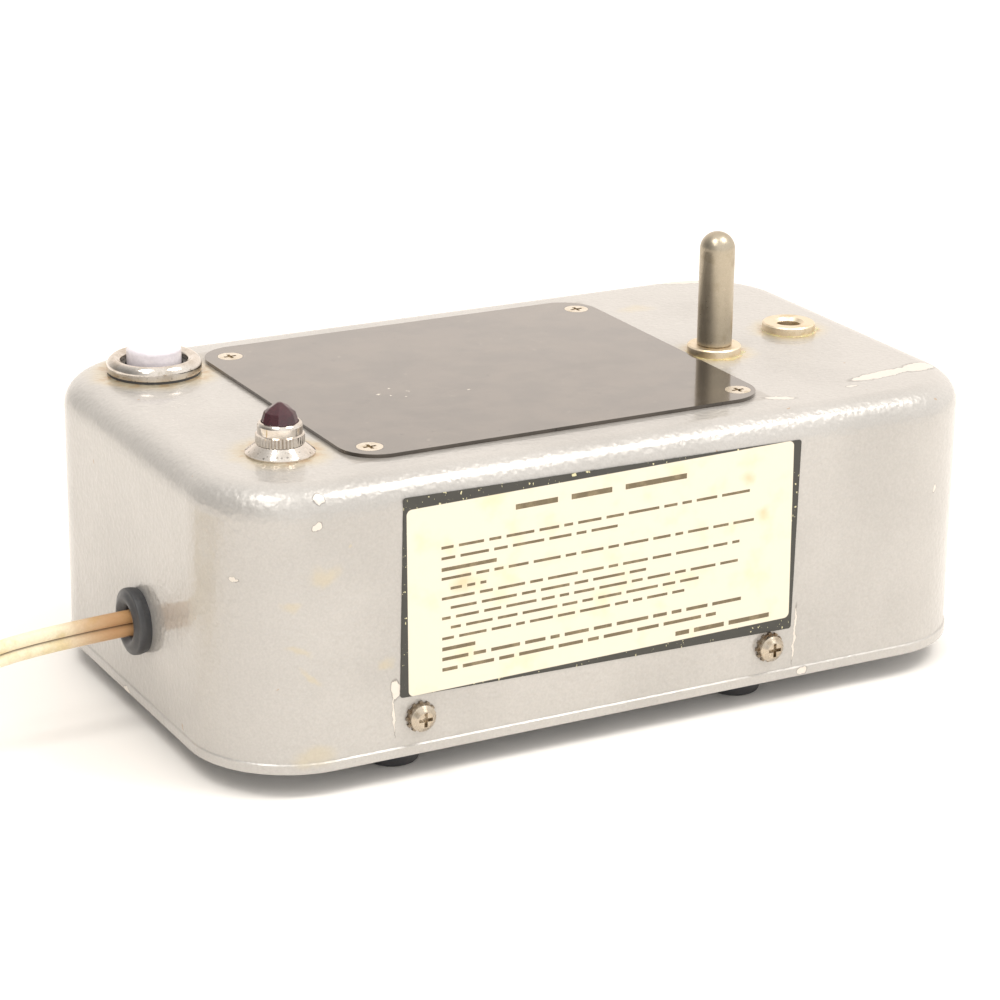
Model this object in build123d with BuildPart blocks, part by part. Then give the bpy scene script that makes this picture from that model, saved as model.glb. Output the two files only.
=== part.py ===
"""Table-top bulk tape eraser (demagnetizer), an assembly of separate pieces.

Millimetres, +Z up. The origin is the middle of the footprint on the table: +X runs
along the length towards the reel spindle, -Y is the labelled long face and the
mains lead leaves the -X end. The feet stand on Z = 0.
"""
from build123d import *
from math import atan2, degrees, pi, tan
import os

os.makedirs("parts", exist_ok=True)

# ---- drawn steel cover -------------------------------------------------------
LENGTH = 183.0          # outside, X
WIDTH = 108.4           # outside, Y
COVER_H = 60.0          # skirt edge to flat top
FOOT_DROP = 5.5         # rubber feet below the skirt edge
WALL = 1.2              # sheet thickness
FIT = 0.05              # running fits
CORNER_R = 22.0         # vertical corners
EDGE_R = 6.5            # drawn radius round the top
LIP = 0.3               # trimmed skirt edge stands this far proud
LIP_H = 2.2
TOP = FOOT_DROP + COVER_H
FRONT = -WIDTH / 2
LEFT = -LENGTH / 2

# ---- pole window, its plate and the magnet below -----------------------------
CORE_X = -8.3           # the magnet, base and plate screws share this middle
WINDOW_L = 82.0
WINDOW_W = 60.0
PLATE_L = 98.8
PLATE_W = 84.0
PLATE_T = 0.8
PLATE_R = 8.5
PLATE_X = -9.0
PLATE_Y = 0.6
PLATE_SCREW_DX = 44.15
PLATE_SCREW_DY = 35.4
CSK_R = 2.8             # countersunk head
CSK_H = 1.5
M3 = 1.5                # screw shank radius
LEG = 12.7              # E lamination: outer leg, window and yoke
CORE_W = 6 * LEG
CORE_H = 4 * LEG
STACK = 50.0
POLE_GAP = 0.8          # poles stop this far under the cover's top face
CORE_Z = TOP - POLE_GAP - CORE_H

# ---- base tray, cover screws, feet -------------------------------------------
BASE_T = 1.5
BASE_Z = 7.0
TRAY_GAP = 0.6          # tray to cover at each end
BASE_L = LENGTH - 2 * (WALL + TRAY_GAP)
FLANGE_H = 13.0
CASE_SCREW_X = (-50.3, 34.0)
CASE_SCREW_Z = 13.7
FOOT_X = (-51.0, 33.0)
FOOT_Y = 42.5
FOOT_R = 6.4
FOOT_SCREW_R = 1.75

# ---- label -------------------------------------------------------------------
LABEL_L = 94.4
LABEL_H = 42.9
LABEL_T = 0.15
LABEL_X = -7.35
LABEL_Z = 39.2
LABEL_TILT = -0.85      # stuck on slightly crooked

# ---- reel spindle and its two sockets ----------------------------------------
SPINDLE_XY = (47.6, -6.8)
SOCKET_XY = (72.8, 1.2)
SPINDLE_R = 3.95        # standard 8 mm reel hub hole
SPINDLE_H = 28.0        # above the cover
DOME_H = SPINDLE_R
SHANK_L = 13.0
SOCKET_T = 2.0
SOCKET_BORE = 2.8
SOCKET_WALL = 1.4
SOCKET_RIM = 1.9
SOCKET_BARREL_L = 13.0
SOCKET_BARREL_R = SOCKET_BORE + SOCKET_WALL
SOCKET_R = SOCKET_BARREL_R + SOCKET_RIM
SHANK_R = SOCKET_BORE - FIT

# ---- push switch -------------------------------------------------------------
SWITCH_XY = (-70.8, 34.8)
SW_BORE_R = 6.35
SW_WALL = 0.9
SW_RIM = 3.15           # ring outside the barrel
SW_CLEAR = 0.35         # button in its bore
SW_BEZEL_H = 3.0
SW_GASKET_T = 0.6
SW_BUTTON_H = 5.9       # button top above the cover
SW_BODY_STEP = 2.25     # body outside the barrel
SW_BODY_TOP = TOP - 9.0
SW_BODY_H = 21.0
SW_TRAVEL = 3.0
SW_BARREL_R = SW_BORE_R + SW_WALL
SW_BEZEL_R = SW_BARREL_R + SW_RIM
SW_BUTTON_R = SW_BORE_R - SW_CLEAR
SW_BODY_R = SW_BARREL_R + SW_BODY_STEP

# ---- pilot lamp --------------------------------------------------------------
LAMP_XY = (-69.4, -28.8)
LAMP_BARREL_R = 4.0
LAMP_WALL = 0.7
LAMP_RIM = 3.2          # flange outside the barrel
JEWEL_SET = 0.15        # jewel smaller than the barrel
LAMP_BORE_R = LAMP_BARREL_R - LAMP_WALL
JEWEL_R = LAMP_BARREL_R - JEWEL_SET

# ---- mains lead --------------------------------------------------------------
CORD_W = 5.75           # two cores, one above the other
CORD_T = 2.9
CORD_Y = -5.3
CORD_Z = 24.7
CORD_CLEAR = 0.225      # lead in the grommet
GROMMET_WALL = 2.1
GROMMET_RIM = 2.0       # outside the hole in the cover
GROMMET_BORE = CORD_W / 2 + CORD_CLEAR
WALL_HOLE_R = GROMMET_BORE + GROMMET_WALL
GROMMET_R = WALL_HOLE_R + GROMMET_RIM
COIL_MID = (-198.0, 33.7)
COIL_R_OUT = 42.0
COIL_R_IN = 24.0
COIL_H = 11.8
CORD_POINTS = (
    (-62.0, CORD_Y, CORD_Z),
    (-106.0, CORD_Y, CORD_Z),
    (-134.0, CORD_Y, 21.3),
    (-160.0, CORD_Y, 2.9),
    (-182.4, CORD_Y, 2.9),
)
TAIL_POINTS = (
    (-212.5, CORD_Y, 8.9),
    (-229.0, -6.8, 8.9),
    (-245.0, -10.8, 8.1),
)

STRIP_X = -60.4          # tag strip's inner face, and its four tags
TAG_Y = (-18.0, -12.0, 1.4, 9.0)
NODES = []


def save(builder, label):
    """Name a finished piece and write its STEP file."""
    builder.part.label = label
    export_step(builder.part, f"parts/{label}.step")
    NODES.append((label, builder.part))


def around(x_list, y_list):
    """Every (x, y) of the two lists."""
    return [(x, y) for x in x_list for y in y_list]


def plate_screw_points():
    """Where the four plate screws stand."""
    return around(
        (CORE_X - PLATE_SCREW_DX, CORE_X + PLATE_SCREW_DX),
        (-PLATE_SCREW_DY, PLATE_SCREW_DY),
    )


# ==== drawn cover =============================================================
def cover():
    """Deep-drawn shell, open below, with the pole window and every mounting hole."""
    with BuildPart() as hollow:
        with BuildSketch(Plane.XY.offset(FOOT_DROP - 1)):
            RectangleRounded(LENGTH - 2 * WALL, WIDTH - 2 * WALL, CORNER_R - WALL)
        extrude(amount=COVER_H - WALL + 1)
        fillet(hollow.edges().group_by(Axis.Z)[-1], EDGE_R - WALL)
    with BuildPart() as lip:
        with BuildSketch(Plane.XY.offset(FOOT_DROP)):
            RectangleRounded(LENGTH + 2 * LIP, WIDTH + 2 * LIP, CORNER_R + LIP)
        extrude(amount=LIP_H)
        chamfer(lip.edges().group_by(Axis.Z)[-1], LIP * 0.9)
    with BuildPart() as shell:
        with BuildSketch(Plane.XY.offset(FOOT_DROP)):
            RectangleRounded(LENGTH, WIDTH, CORNER_R)
        extrude(amount=COVER_H)
        fillet(shell.edges().group_by(Axis.Z)[-1], EDGE_R)
        add(lip.part)
        add(hollow.part, mode=Mode.SUBTRACT)
        with BuildSketch(Plane.XY.offset(TOP - 5)):
            with Locations((CORE_X, 0)):
                RectangleRounded(WINDOW_L, WINDOW_W, 5)
        extrude(amount=6, mode=Mode.SUBTRACT)
        with Locations(*[(x, y, TOP) for x, y in plate_screw_points()]):
            CounterSinkHole(M3 + FIT, csk_radius(PLATE_T) + FIT, 4, 82)
        with Locations((*SPINDLE_XY, TOP), (*SOCKET_XY, TOP)):
            Hole(SOCKET_BARREL_R + FIT, 4)
        with Locations((*SWITCH_XY, TOP)):
            Hole(SW_BARREL_R + 0.1, 4)
        with Locations((*LAMP_XY, TOP)):
            Hole(LAMP_BARREL_R + 0.1, 4)
        for side in (-1, 1):
            for x in CASE_SCREW_X:
                with Locations((x, side * WIDTH / 2, CASE_SCREW_Z)):
                    Cylinder(M3 + 0.1, 6, rotation=(90, 0, 0), mode=Mode.SUBTRACT)
        with Locations((LEFT, CORD_Y, CORD_Z)):
            Cylinder(WALL_HOLE_R, 6, rotation=(0, 90, 0), mode=Mode.SUBTRACT)
    save(shell, "case_cover")


def csk_radius(depth):
    """Radius of the countersunk head a given depth below its flat top."""
    return CSK_R - (CSK_R - M3) * depth / CSK_H


# ==== pole plate ==============================================================
def pole_plate():
    """Thin black plate over the magnet's poles."""
    with BuildPart() as plate:
        with BuildSketch(Plane.XY.offset(TOP)):
            with Locations((PLATE_X, PLATE_Y)):
                RectangleRounded(PLATE_L, PLATE_W, PLATE_R)
        extrude(amount=PLATE_T)
        with Locations(*[(x, y, TOP + PLATE_T) for x, y in plate_screw_points()]):
            CounterSinkHole(M3 + 0.2, CSK_R + FIT, 2, 82)
    save(plate, "pole_plate")


def cross_recess(z, size, depth):
    """Cross-shaped driver recess cut down from height z."""
    with Locations((0, 0, z)):
        Box(size, size * 0.24, depth * 2, mode=Mode.SUBTRACT)
        Box(size * 0.24, size, depth * 2, mode=Mode.SUBTRACT)


def pole_plate_screws():
    """Countersunk cross-recess screws clamping plate and cover, nuts inside."""
    with BuildPart() as screw:
        with BuildSketch(Plane.XZ):
            Polygon((0, 0), (CSK_R, 0), (M3, -CSK_H), (M3, -6.6), (0, -6.6), align=None)
        revolve(axis=Axis.Z)
        cross_recess(0, 2.9, 0.75)
    with BuildPart() as screws:
        with Locations(*[(x, y, TOP + PLATE_T) for x, y in plate_screw_points()]):
            add(screw.part)
    save(screws, "pole_plate_screws")
    save(hex_nuts([(x, y, TOP - WALL) for x, y in plate_screw_points()], 5.5, 2.4, M3), "pole_plate_nuts")


def hex_nuts(tops, across_flats, height, bore):
    """Plain hex nuts hanging down from the given top points."""
    with BuildPart() as nuts:
        for x, y, z in tops:
            with BuildSketch(Plane.XY.offset(z)):
                with Locations((x, y)):
                    RegularPolygon(across_flats / 2, 6, major_radius=False)
                    Circle(bore + FIT, mode=Mode.SUBTRACT)
            extrude(amount=-height)
    return nuts


# ==== label ===================================================================
def label_plate():
    """Label foil on the front face."""
    face = Plane((LABEL_X, FRONT, LABEL_Z), x_dir=(1, 0, 0), z_dir=(0, -1, 0))
    with BuildPart() as label:
        with BuildSketch(face):
            RectangleRounded(LABEL_L, LABEL_H, 0.6, rotation=LABEL_TILT)
        extrude(amount=LABEL_T)
    save(label, "label_plate")


# ==== base tray and cover screws ==============================================
def base_tray():
    """Flat bottom with front and rear flanges turned up inside the skirt."""
    depth = WIDTH - 2 * WALL
    with BuildPart() as tray:
        with BuildSketch(Plane.XY.offset(BASE_Z)):
            RectangleRounded(BASE_L, depth, CORNER_R - WALL - 0.5)
        extrude(amount=BASE_T)
        for side in (-1, 1):
            with Locations((CORE_X, side * (depth / 2 - BASE_T / 2), BASE_Z + FLANGE_H / 2)):
                Box(110, BASE_T, FLANGE_H)
            for x in CASE_SCREW_X:
                with Locations((x, side * depth / 2, CASE_SCREW_Z)):
                    Cylinder(M3, 8, rotation=(90, 0, 0), mode=Mode.SUBTRACT)
        with Locations(*[(x, y, BASE_Z + BASE_T) for x, y in around(FOOT_X, (-FOOT_Y, FOOT_Y))]):
            Hole(FOOT_SCREW_R + FIT, 4)
        with Locations(*[(x, y, BASE_Z + BASE_T) for x, y in bracket_screw_points()]):
            Hole(2.1, 4)
        with Locations((STRIP_X - 4.0, CORD_Y, BASE_Z + BASE_T)):
            Hole(M3 + 0.1, 4)
    save(tray, "base_tray")


def side_screw(length):
    """Pan-head cross-recess screw lying along Y with its head towards -Y."""
    with BuildPart() as screw:
        with BuildSketch(Plane.XZ):
            Polygon((0, 2.1), (1.7, 2.1), (2.85, 1.1), (2.85, 0), (M3, 0), (M3, -length), (0, -length), align=None)
        revolve(axis=Axis.Z)
        fillet(screw.edges().filter_by_position(Axis.Z, 1.05, 2.15).group_by(Axis.Z)[-1], 0.4)
        cross_recess(2.1, 3.1, 1.1)
    return screw


def star_washer():
    """External-tooth lock washer lying flat, 0.6 thick."""
    with BuildPart() as washer:
        with BuildSketch():
            Circle(3.0)
            with PolarLocations(2.95, 12):
                Rectangle(0.8, 0.75)
            Circle(M3 + 0.1, mode=Mode.SUBTRACT)
        extrude(amount=0.6)
    return washer


def cover_screws():
    """Case screws and their toothed washers, front and rear."""
    screw = side_screw(7.0).part
    washer = star_washer().part
    with BuildPart() as screws:
        for side in (-1, 1):
            for x in CASE_SCREW_X:
                turn = (90, 0, 0) if side < 0 else (-90, 0, 0)
                with Locations(Location((x, side * (WIDTH / 2 + 0.6), CASE_SCREW_Z), turn)):
                    add(screw)
    save(screws, "case_screws")
    with BuildPart() as washers:
        for side in (-1, 1):
            for x in CASE_SCREW_X:
                turn = (90, 0, 0) if side < 0 else (-90, 0, 0)
                with Locations(Location((x, side * WIDTH / 2, CASE_SCREW_Z), turn)):
                    add(washer)
    save(washers, "case_lock_washers")


# ==== feet ====================================================================
def feet():
    """Moulded rubber feet, each held by a screw from below and a nut inside."""
    names = {(0, -1): "foot_front_left", (1, -1): "foot_front_right",
             (0, 1): "foot_rear_left", (1, 1): "foot_rear_right"}
    for (i, side), label in names.items():
        with BuildPart() as foot:
            with BuildSketch(Plane.XZ):
                Polygon((FOOT_SCREW_R + 0.15, 4.0), (FOOT_SCREW_R + 0.15, BASE_Z), (FOOT_R, BASE_Z), (FOOT_R, 3.0), (FOOT_R - 1.0, 0),
                        (3.3, 0), (3.3, 4.0), align=None)
            revolve(axis=Axis.Z)
            fillet(foot.edges().filter_by_position(Axis.Z, -0.01, 0.01).sort_by(SortBy.RADIUS)[-1], 1.0)
        with BuildPart() as placed:
            with Locations((FOOT_X[i], side * FOOT_Y, 0)):
                add(foot.part)
        save(placed, label)
    points = around(FOOT_X, (-FOOT_Y, FOOT_Y))
    with BuildPart() as screw:
        with BuildSketch(Plane.XZ):
            Polygon((0, 2.0), (3.0, 2.0), (3.0, 4.0), (FOOT_SCREW_R, 4.0), (FOOT_SCREW_R, 13.5), (0, 13.5), align=None)
        revolve(axis=Axis.Z)
        cross_recess(2.0, 3.2, 1.2)
    with BuildPart() as screws:
        with Locations(*[(x, y, 0) for x, y in points]):
            add(screw.part)
    save(screws, "foot_screws")
    tops = [(x, y, BASE_Z + BASE_T + 2.8) for x, y in points]
    save(hex_nuts(tops, 7.0, 2.8, FOOT_SCREW_R), "foot_nuts")


# ==== spindle and sockets =====================================================
def spindle():
    """Plug-in reel pin: shouldered, round-ended, free to lift out of its socket."""
    base = TOP + SOCKET_T
    with BuildPart() as pin:
        with BuildSketch(Plane.XZ):
            with BuildLine():
                Polyline((0, TOP + SPINDLE_H), (0, base - SHANK_L), (SHANK_R - 0.5, base - SHANK_L),
                         (SHANK_R, base - SHANK_L + 0.8), (SHANK_R, base), (SPINDLE_R - 0.25, base),
                         (SPINDLE_R, base + 0.25), (SPINDLE_R, TOP + SPINDLE_H - DOME_H))
                CenterArc((0, TOP + SPINDLE_H - DOME_H), SPINDLE_R, 0, 90)
            make_face()
        revolve(axis=Axis.Z)
    with BuildPart() as placed:
        with Locations((*SPINDLE_XY, 0)):
            add(pin.part)
    save(placed, "spindle_pin")


def sockets():
    """Flanged sockets for the pin: near the plate and out by the end of the cover."""
    low = TOP - SOCKET_BARREL_L
    for label, (x, y) in (("spindle_socket_inner", SPINDLE_XY), ("spindle_socket_outer", SOCKET_XY)):
        with BuildPart() as socket:
            with BuildSketch(Plane.XZ):
                Polygon((SOCKET_BORE, low), (SOCKET_BORE, TOP + SOCKET_T - 0.7), (SOCKET_BORE + 0.7, TOP + SOCKET_T),
                        (SOCKET_R - 0.3, TOP + SOCKET_T), (SOCKET_R, TOP + SOCKET_T - 0.3), (SOCKET_R, TOP),
                        (SOCKET_BARREL_R, TOP), (SOCKET_BARREL_R, low), align=None)
            revolve(axis=Axis.Z)
        with BuildPart() as placed:
            with Locations((x, y, 0)):
                add(socket.part)
        save(placed, label)
    tops = [(x, y, TOP - WALL) for x, y in (SPINDLE_XY, SOCKET_XY)]
    save(hex_nuts(tops, 2 * SOCKET_BARREL_R + 3.6, 3.0, SOCKET_BARREL_R), "spindle_socket_nuts")


# ==== push switch =============================================================
def ring_at(xy, points, label):
    """Piece of revolution about a vertical axis through xy."""
    with BuildPart() as turned:
        with BuildSketch(Plane.XZ):
            Polygon(*points, align=None)
        revolve(axis=Axis.Z)
    with BuildPart() as placed:
        with Locations((*xy, 0)):
            add(turned.part)
    save(placed, label)


def switch():
    """Push switch: ring, gasket, body, button, plunger, spring and contacts."""
    floor = SW_BODY_TOP - SW_BODY_H
    z = TOP + SW_GASKET_T
    with BuildPart() as bezel:
        with BuildSketch(Plane.XZ):
            with BuildLine():
                Polyline((SW_BARREL_R + FIT, z), (SW_BEZEL_R, z), (SW_BEZEL_R, z + 1.2))
                Spline((SW_BEZEL_R, z + 1.2), (SW_BEZEL_R - 0.45, z + 2.35), (SW_BEZEL_R - 1.5, z + SW_BEZEL_H),
                       (SW_BEZEL_R - 2.6, z + 2.55), (SW_BARREL_R + FIT, z + 1.5), tangents=((0, 1), (0, -1)))
                Polyline((SW_BARREL_R + FIT, z + 1.5), (SW_BARREL_R + FIT, z))
            make_face()
        revolve(axis=Axis.Z)
    with BuildPart() as placed:
        with Locations((*SWITCH_XY, 0)):
            add(bezel.part)
    save(placed, "switch_bezel")
    ring_at(SWITCH_XY, ((SW_BARREL_R + FIT, TOP), (SW_BEZEL_R - 0.15, TOP), (SW_BEZEL_R - 0.15, z),
                        (SW_BARREL_R + FIT, z)), "switch_gasket")
    with BuildPart() as body:
        with BuildSketch(Plane.XZ):
            Polygon((SW_BORE_R, TOP + 1.9), (SW_BARREL_R, TOP + 1.9), (SW_BARREL_R, SW_BODY_TOP),
                    (SW_BODY_R, SW_BODY_TOP), (SW_BODY_R, floor), (0, floor), (0, floor + 1.5),
                    (SW_BODY_R - 1.2, floor + 1.5), (SW_BODY_R - 1.2, SW_BODY_TOP - 1.2),
                    (SW_BORE_R, SW_BODY_TOP - 1.2), align=None)
        revolve(axis=Axis.Z)
        for side in (-1, 1):
            with Locations((side * 3.4, 0, floor)):
                Box(0.8, 4.0, 6, mode=Mode.SUBTRACT)
    with BuildPart() as placed:
        with Locations((*SWITCH_XY, 0)):
            add(body.part)
    save(placed, "switch_body")
    save(hex_nuts([(*SWITCH_XY, TOP - WALL)], 2 * SW_BARREL_R + 5.5, 2.6, SW_BARREL_R), "switch_nut")
    shoulder = SW_BODY_TOP - 1.2
    with BuildPart() as button:
        with BuildSketch(Plane.XZ):
            Polygon((0, TOP + SW_BUTTON_H), (SW_BUTTON_R, TOP + SW_BUTTON_H), (SW_BUTTON_R, shoulder),
                    (SW_BARREL_R + FIT, shoulder), (SW_BARREL_R + FIT, shoulder - 1.6), (0, shoulder - 1.6),
                    align=None)
        revolve(axis=Axis.Z)
        fillet(button.edges().group_by(Axis.Z)[-1], 0.9)
    with BuildPart() as placed:
        with Locations((*SWITCH_XY, 0)):
            add(button.part)
    save(placed, "switch_button")
    low = shoulder - 1.6
    ring_at(SWITCH_XY, ((0, low), (2.4, low), (2.4, low - 7.0), (0, low - 7.0)), "switch_plunger")
    ring_at(SWITCH_XY, ((0, low - 7.0), (5.2, low - 7.0), (5.2, low - 7.8), (0, low - 7.8)), "switch_contact_disc")
    with BuildPart() as spring:
        with BuildLine() as coils:
            Helix(2.6, low - floor - 2.4, 6.8, center=(*SWITCH_XY, floor + 1.95))
        with BuildSketch(Plane(coils.line @ 0, z_dir=coils.line % 0)):
            Circle(0.4)
        sweep(is_frenet=True)
    save(spring, "switch_spring")
    with BuildPart() as terminals:
        top = low - 7.8 - SW_TRAVEL - 0.1
        for side in (-1, 1):
            x = SWITCH_XY[0] + side * 3.4
            with Locations((x, SWITCH_XY[1], (top + floor - 6) / 2)):
                Box(0.8, 4.0, top - floor + 6)
    save(terminals, "switch_terminals")


# ==== pilot lamp ==============================================================
def pilot_lamp():
    """Pilot lamp: flange, ring, jewel, lamp, socket and terminals."""
    z = TOP
    flange = LAMP_BARREL_R + LAMP_RIM
    collar = JEWEL_R + 0.1
    smooth = JEWEL_R + 0.8
    knurl = JEWEL_R + 1.2
    ring_at(LAMP_XY, ((LAMP_BORE_R, z - 15), (LAMP_BARREL_R, z - 15), (LAMP_BARREL_R, z), (flange, z), (flange, z + 0.4),
                      (flange - 0.2, z + 0.55), (JEWEL_R + 1.1, z + 2.25), (collar, z + 2.25), (collar, z + 4.5),
                      (LAMP_BORE_R, z + 4.5)),
            "pilot_bezel")
    with BuildPart() as ring:
        with BuildSketch(Plane.XZ):
            Polygon((collar + FIT, z + 2.35), (knurl, z + 2.35), (knurl, z + 4.25), (smooth, z + 4.45),
                    (smooth, z + 6.1), (smooth - 0.15, z + 6.5), (smooth - 0.4, z + 6.75), (JEWEL_R + FIT, z + 6.8),
                    (JEWEL_R + FIT, z + 4.6), (collar + FIT, z + 4.6), align=None)
        revolve(axis=Axis.Z)
        with PolarLocations(knurl + 0.05, 40):
            with Locations((0, 0, z + 3.3)):
                Box(0.38, 0.34, 2.2, rotation=(0, 0, 45), mode=Mode.SUBTRACT)
    with BuildPart() as placed:
        with Locations((*LAMP_XY, 0)):
            add(ring.part)
    save(placed, "pilot_ring")
    with BuildPart() as jewel:
        with BuildSketch(Plane.XY.offset(z + 4.65)):
            with Locations(LAMP_XY):
                Circle(JEWEL_R)
        extrude(amount=2.05)
        for height, radius in ((6.7, JEWEL_R - 0.05), (8.85, JEWEL_R - 0.65), (10.05, 1.7), (10.75, 0.4)):
            with BuildSketch(Plane.XY.offset(z + height)):
                with Locations(LAMP_XY):
                    RegularPolygon(radius, 12)
        loft(ruled=True)
    save(jewel, "pilot_jewel")
    save(hex_nuts([(*LAMP_XY, z - WALL)], 2 * LAMP_BARREL_R + 3.0, 2.2, LAMP_BARREL_R), "pilot_nut")
    ring_at(LAMP_XY, ((0, z - 18.0), (2.9, z - 18.0), (2.9, z - 8.0), (0, z - 8.0)), "pilot_lamp_base")
    with BuildPart() as glass:
        with BuildSketch(Plane.XY.offset(z - 8.0)):
            with Locations(LAMP_XY):
                Circle(2.6)
        extrude(amount=12.0)
        fillet(glass.edges().group_by(Axis.Z)[-1], 2.4)
    save(glass, "pilot_lamp_glass")
    holder = LAMP_BARREL_R + 0.6
    ring_at(LAMP_XY, ((0, z - 25.0), (holder, z - 25.0), (holder, z - 15.0), (2.95, z - 15.0), (2.95, z - 18.0),
                      (0, z - 18.0)), "pilot_socket")
    with BuildPart() as terminals:
        for side in (-1, 1):
            with Locations((LAMP_XY[0] + side * 2.6, LAMP_XY[1], z - 28.0)):
                Box(0.5, 2.4, 6.0)
    save(terminals, "pilot_terminals")


# ==== magnet ==================================================================
def bracket_screw_points():
    """Where the four angle screws stand."""
    return around((CORE_X - 30, CORE_X + 30), (-34.0, 34.0))


def magnet():
    """Upward-facing E core with its bobbin, winding and mounting angles."""
    front = Plane((CORE_X, STACK / 2, CORE_Z), x_dir=(1, 0, 0), z_dir=(0, -1, 0))
    with BuildPart() as core:
        with BuildSketch(front):
            Rectangle(CORE_W, CORE_H, align=(Align.CENTER, Align.MIN))
            with Locations((-1.5 * LEG, LEG), (1.5 * LEG, LEG)):
                Rectangle(LEG, CORE_H, align=(Align.CENTER, Align.MIN), mode=Mode.SUBTRACT)
            with Locations((-2.5 * LEG, LEG / 2), (2.5 * LEG, LEG / 2)):
                Circle(2.1, mode=Mode.SUBTRACT)
        extrude(amount=STACK)
    save(core, "core_laminations")
    low = CORE_Z + LEG
    height = 35.0
    with BuildPart() as bobbin:
        for z, t, grow in ((low, 1.2, 9.6), (low + 1.2, height - 2.4, 1.2), (low + height - 1.2, 1.2, 9.6)):
            with BuildSketch(Plane.XY.offset(z)):
                with Locations((CORE_X, 0)):
                    RectangleRounded(2 * LEG + 0.6 + 2 * grow, STACK + 0.6 + 2 * grow, 1.0)
            extrude(amount=t)
        with Locations((CORE_X, 0, low + height / 2)):
            Box(2 * LEG + 0.3, STACK + 0.3, height + 2, mode=Mode.SUBTRACT)
    save(bobbin, "coil_bobbin")
    with BuildPart() as winding:
        with BuildSketch(Plane.XY.offset(low + 1.2)):
            with Locations((CORE_X, 0)):
                RectangleRounded(2 * LEG + 3.0 + 15.6, STACK + 3.0 + 15.6, 6)
                Rectangle(2 * LEG + 3.0, STACK + 3.0, mode=Mode.SUBTRACT)
        extrude(amount=height - 2.4)
    save(winding, "coil_winding")
    with BuildPart() as wrap:
        with BuildSketch(Plane.XY.offset(low + 2.2)):
            with Locations((CORE_X, 0)):
                RectangleRounded(2 * LEG + 3.0 + 16.4, STACK + 3.0 + 16.4, 6.4)
                RectangleRounded(2 * LEG + 3.0 + 15.6, STACK + 3.0 + 15.6, 6, mode=Mode.SUBTRACT)
        extrude(amount=height - 4.4)
    save(wrap, "coil_wrap")
    for side, label in ((-1, "core_bracket_front"), (1, "core_bracket_rear")):
        with BuildPart() as bracket:
            base = BASE_Z + BASE_T
            rise = CORE_Z + LEG / 2 + 5.25 - base
            with Locations((CORE_X, side * (STACK / 2 + 0.75), base + rise / 2)):
                Box(CORE_W, 1.5, rise)
            with Locations((CORE_X, side * (STACK / 2 + 8.0), base + 0.75)):
                Box(CORE_W, 16.0, 1.5)
            for dx in (-2.5 * LEG, 2.5 * LEG):
                with Locations((CORE_X + dx, side * STACK / 2, CORE_Z + LEG / 2)):
                    Cylinder(2.1, 8, rotation=(90, 0, 0), mode=Mode.SUBTRACT)
            with Locations(*[(x, y, base + 1.5) for x, y in bracket_screw_points() if y * side > 0]):
                Hole(2.1, 3)
        save(bracket, label)
    half = STACK / 2 + 1.5
    axis_z = CORE_Z + LEG / 2
    with BuildPart() as bolts:
        for dx in (-2.5 * LEG, 2.5 * LEG):
            with Locations((CORE_X + dx, 1.0, axis_z)):
                Cylinder(2.0, 2 * half + 5.0, rotation=(90, 0, 0))
            with Locations((CORE_X + dx, -half - 1.3, axis_z)):
                Cylinder(3.6, 2.6, rotation=(90, 0, 0))
    save(bolts, "core_bolts")
    with BuildPart() as nuts:
        for dx in (-2.5 * LEG, 2.5 * LEG):
            with BuildSketch(Plane((CORE_X + dx, half, axis_z), x_dir=(1, 0, 0), z_dir=(0, 1, 0))):
                RegularPolygon(3.5, 6, major_radius=False)
                Circle(2.0 + FIT, mode=Mode.SUBTRACT)
            extrude(amount=3.0)
    save(nuts, "core_bolt_nuts")
    with BuildPart() as screws:
        for x, y in bracket_screw_points():
            with Locations((x, y, BASE_Z - 1.1)):
                Cylinder(3.6, 2.2)
            with Locations((x, y, BASE_Z + 4.0)):
                Cylinder(2.0, 8.0)
    save(screws, "bracket_screws")
    tops = [(x, y, BASE_Z + BASE_T + 1.5 + 2.8) for x, y in bracket_screw_points()]
    save(hex_nuts(tops, 7.0, 2.8, 2.0), "bracket_nuts")


# ==== tag strip and wiring ====================================================

def tag_strip():
    """Insulating board on a metal foot; the lead and the inner wires meet here."""
    base = BASE_Z + BASE_T
    with BuildPart() as board:
        with Locations((STRIP_X - 0.8, -4.5, 21.0)):
            Box(1.6, 36.0, 18.0)
    save(board, "tag_board")
    with BuildPart() as foot:
        with Locations((STRIP_X + 0.5, CORD_Y, base + 7.5)):
            Box(1.0, 10.0, 15.0)
        with Locations((STRIP_X - 3.5, CORD_Y, base + 0.5)):
            Box(9.0, 10.0, 1.0)
        with Locations((STRIP_X - 4.0, CORD_Y, base + 1.0)):
            Hole(M3 + 0.1, 2)
    save(foot, "tag_foot")
    with BuildPart() as tags:
        for y in TAG_Y:
            with Locations((STRIP_X - 1.6 - 0.25, y, 28.0)):
                Box(0.5, 3.0, 10.0)
    save(tags, "tag_lugs")
    with BuildPart() as screw:
        with Locations((STRIP_X - 4.0, CORD_Y, base + 1.0 + 1.0)):
            Cylinder(2.7, 2.0)
        with Locations((STRIP_X - 4.0, CORD_Y, base - 1.0)):
            Cylinder(M3, 4.0)
    save(screw, "tag_screw")


def bend_radii(points, share=0.45):
    """Arc radius at each inner corner, taking a fixed share of the shorter run."""
    radii = []
    for a, b, c in zip(points, points[1:], points[2:]):
        u = Vector(*b) - Vector(*a)
        v = Vector(*c) - Vector(*b)
        half = u.get_angle(v) * pi / 360
        radii.append(share * min(u.length, v.length) / tan(half))
    return radii


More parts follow.
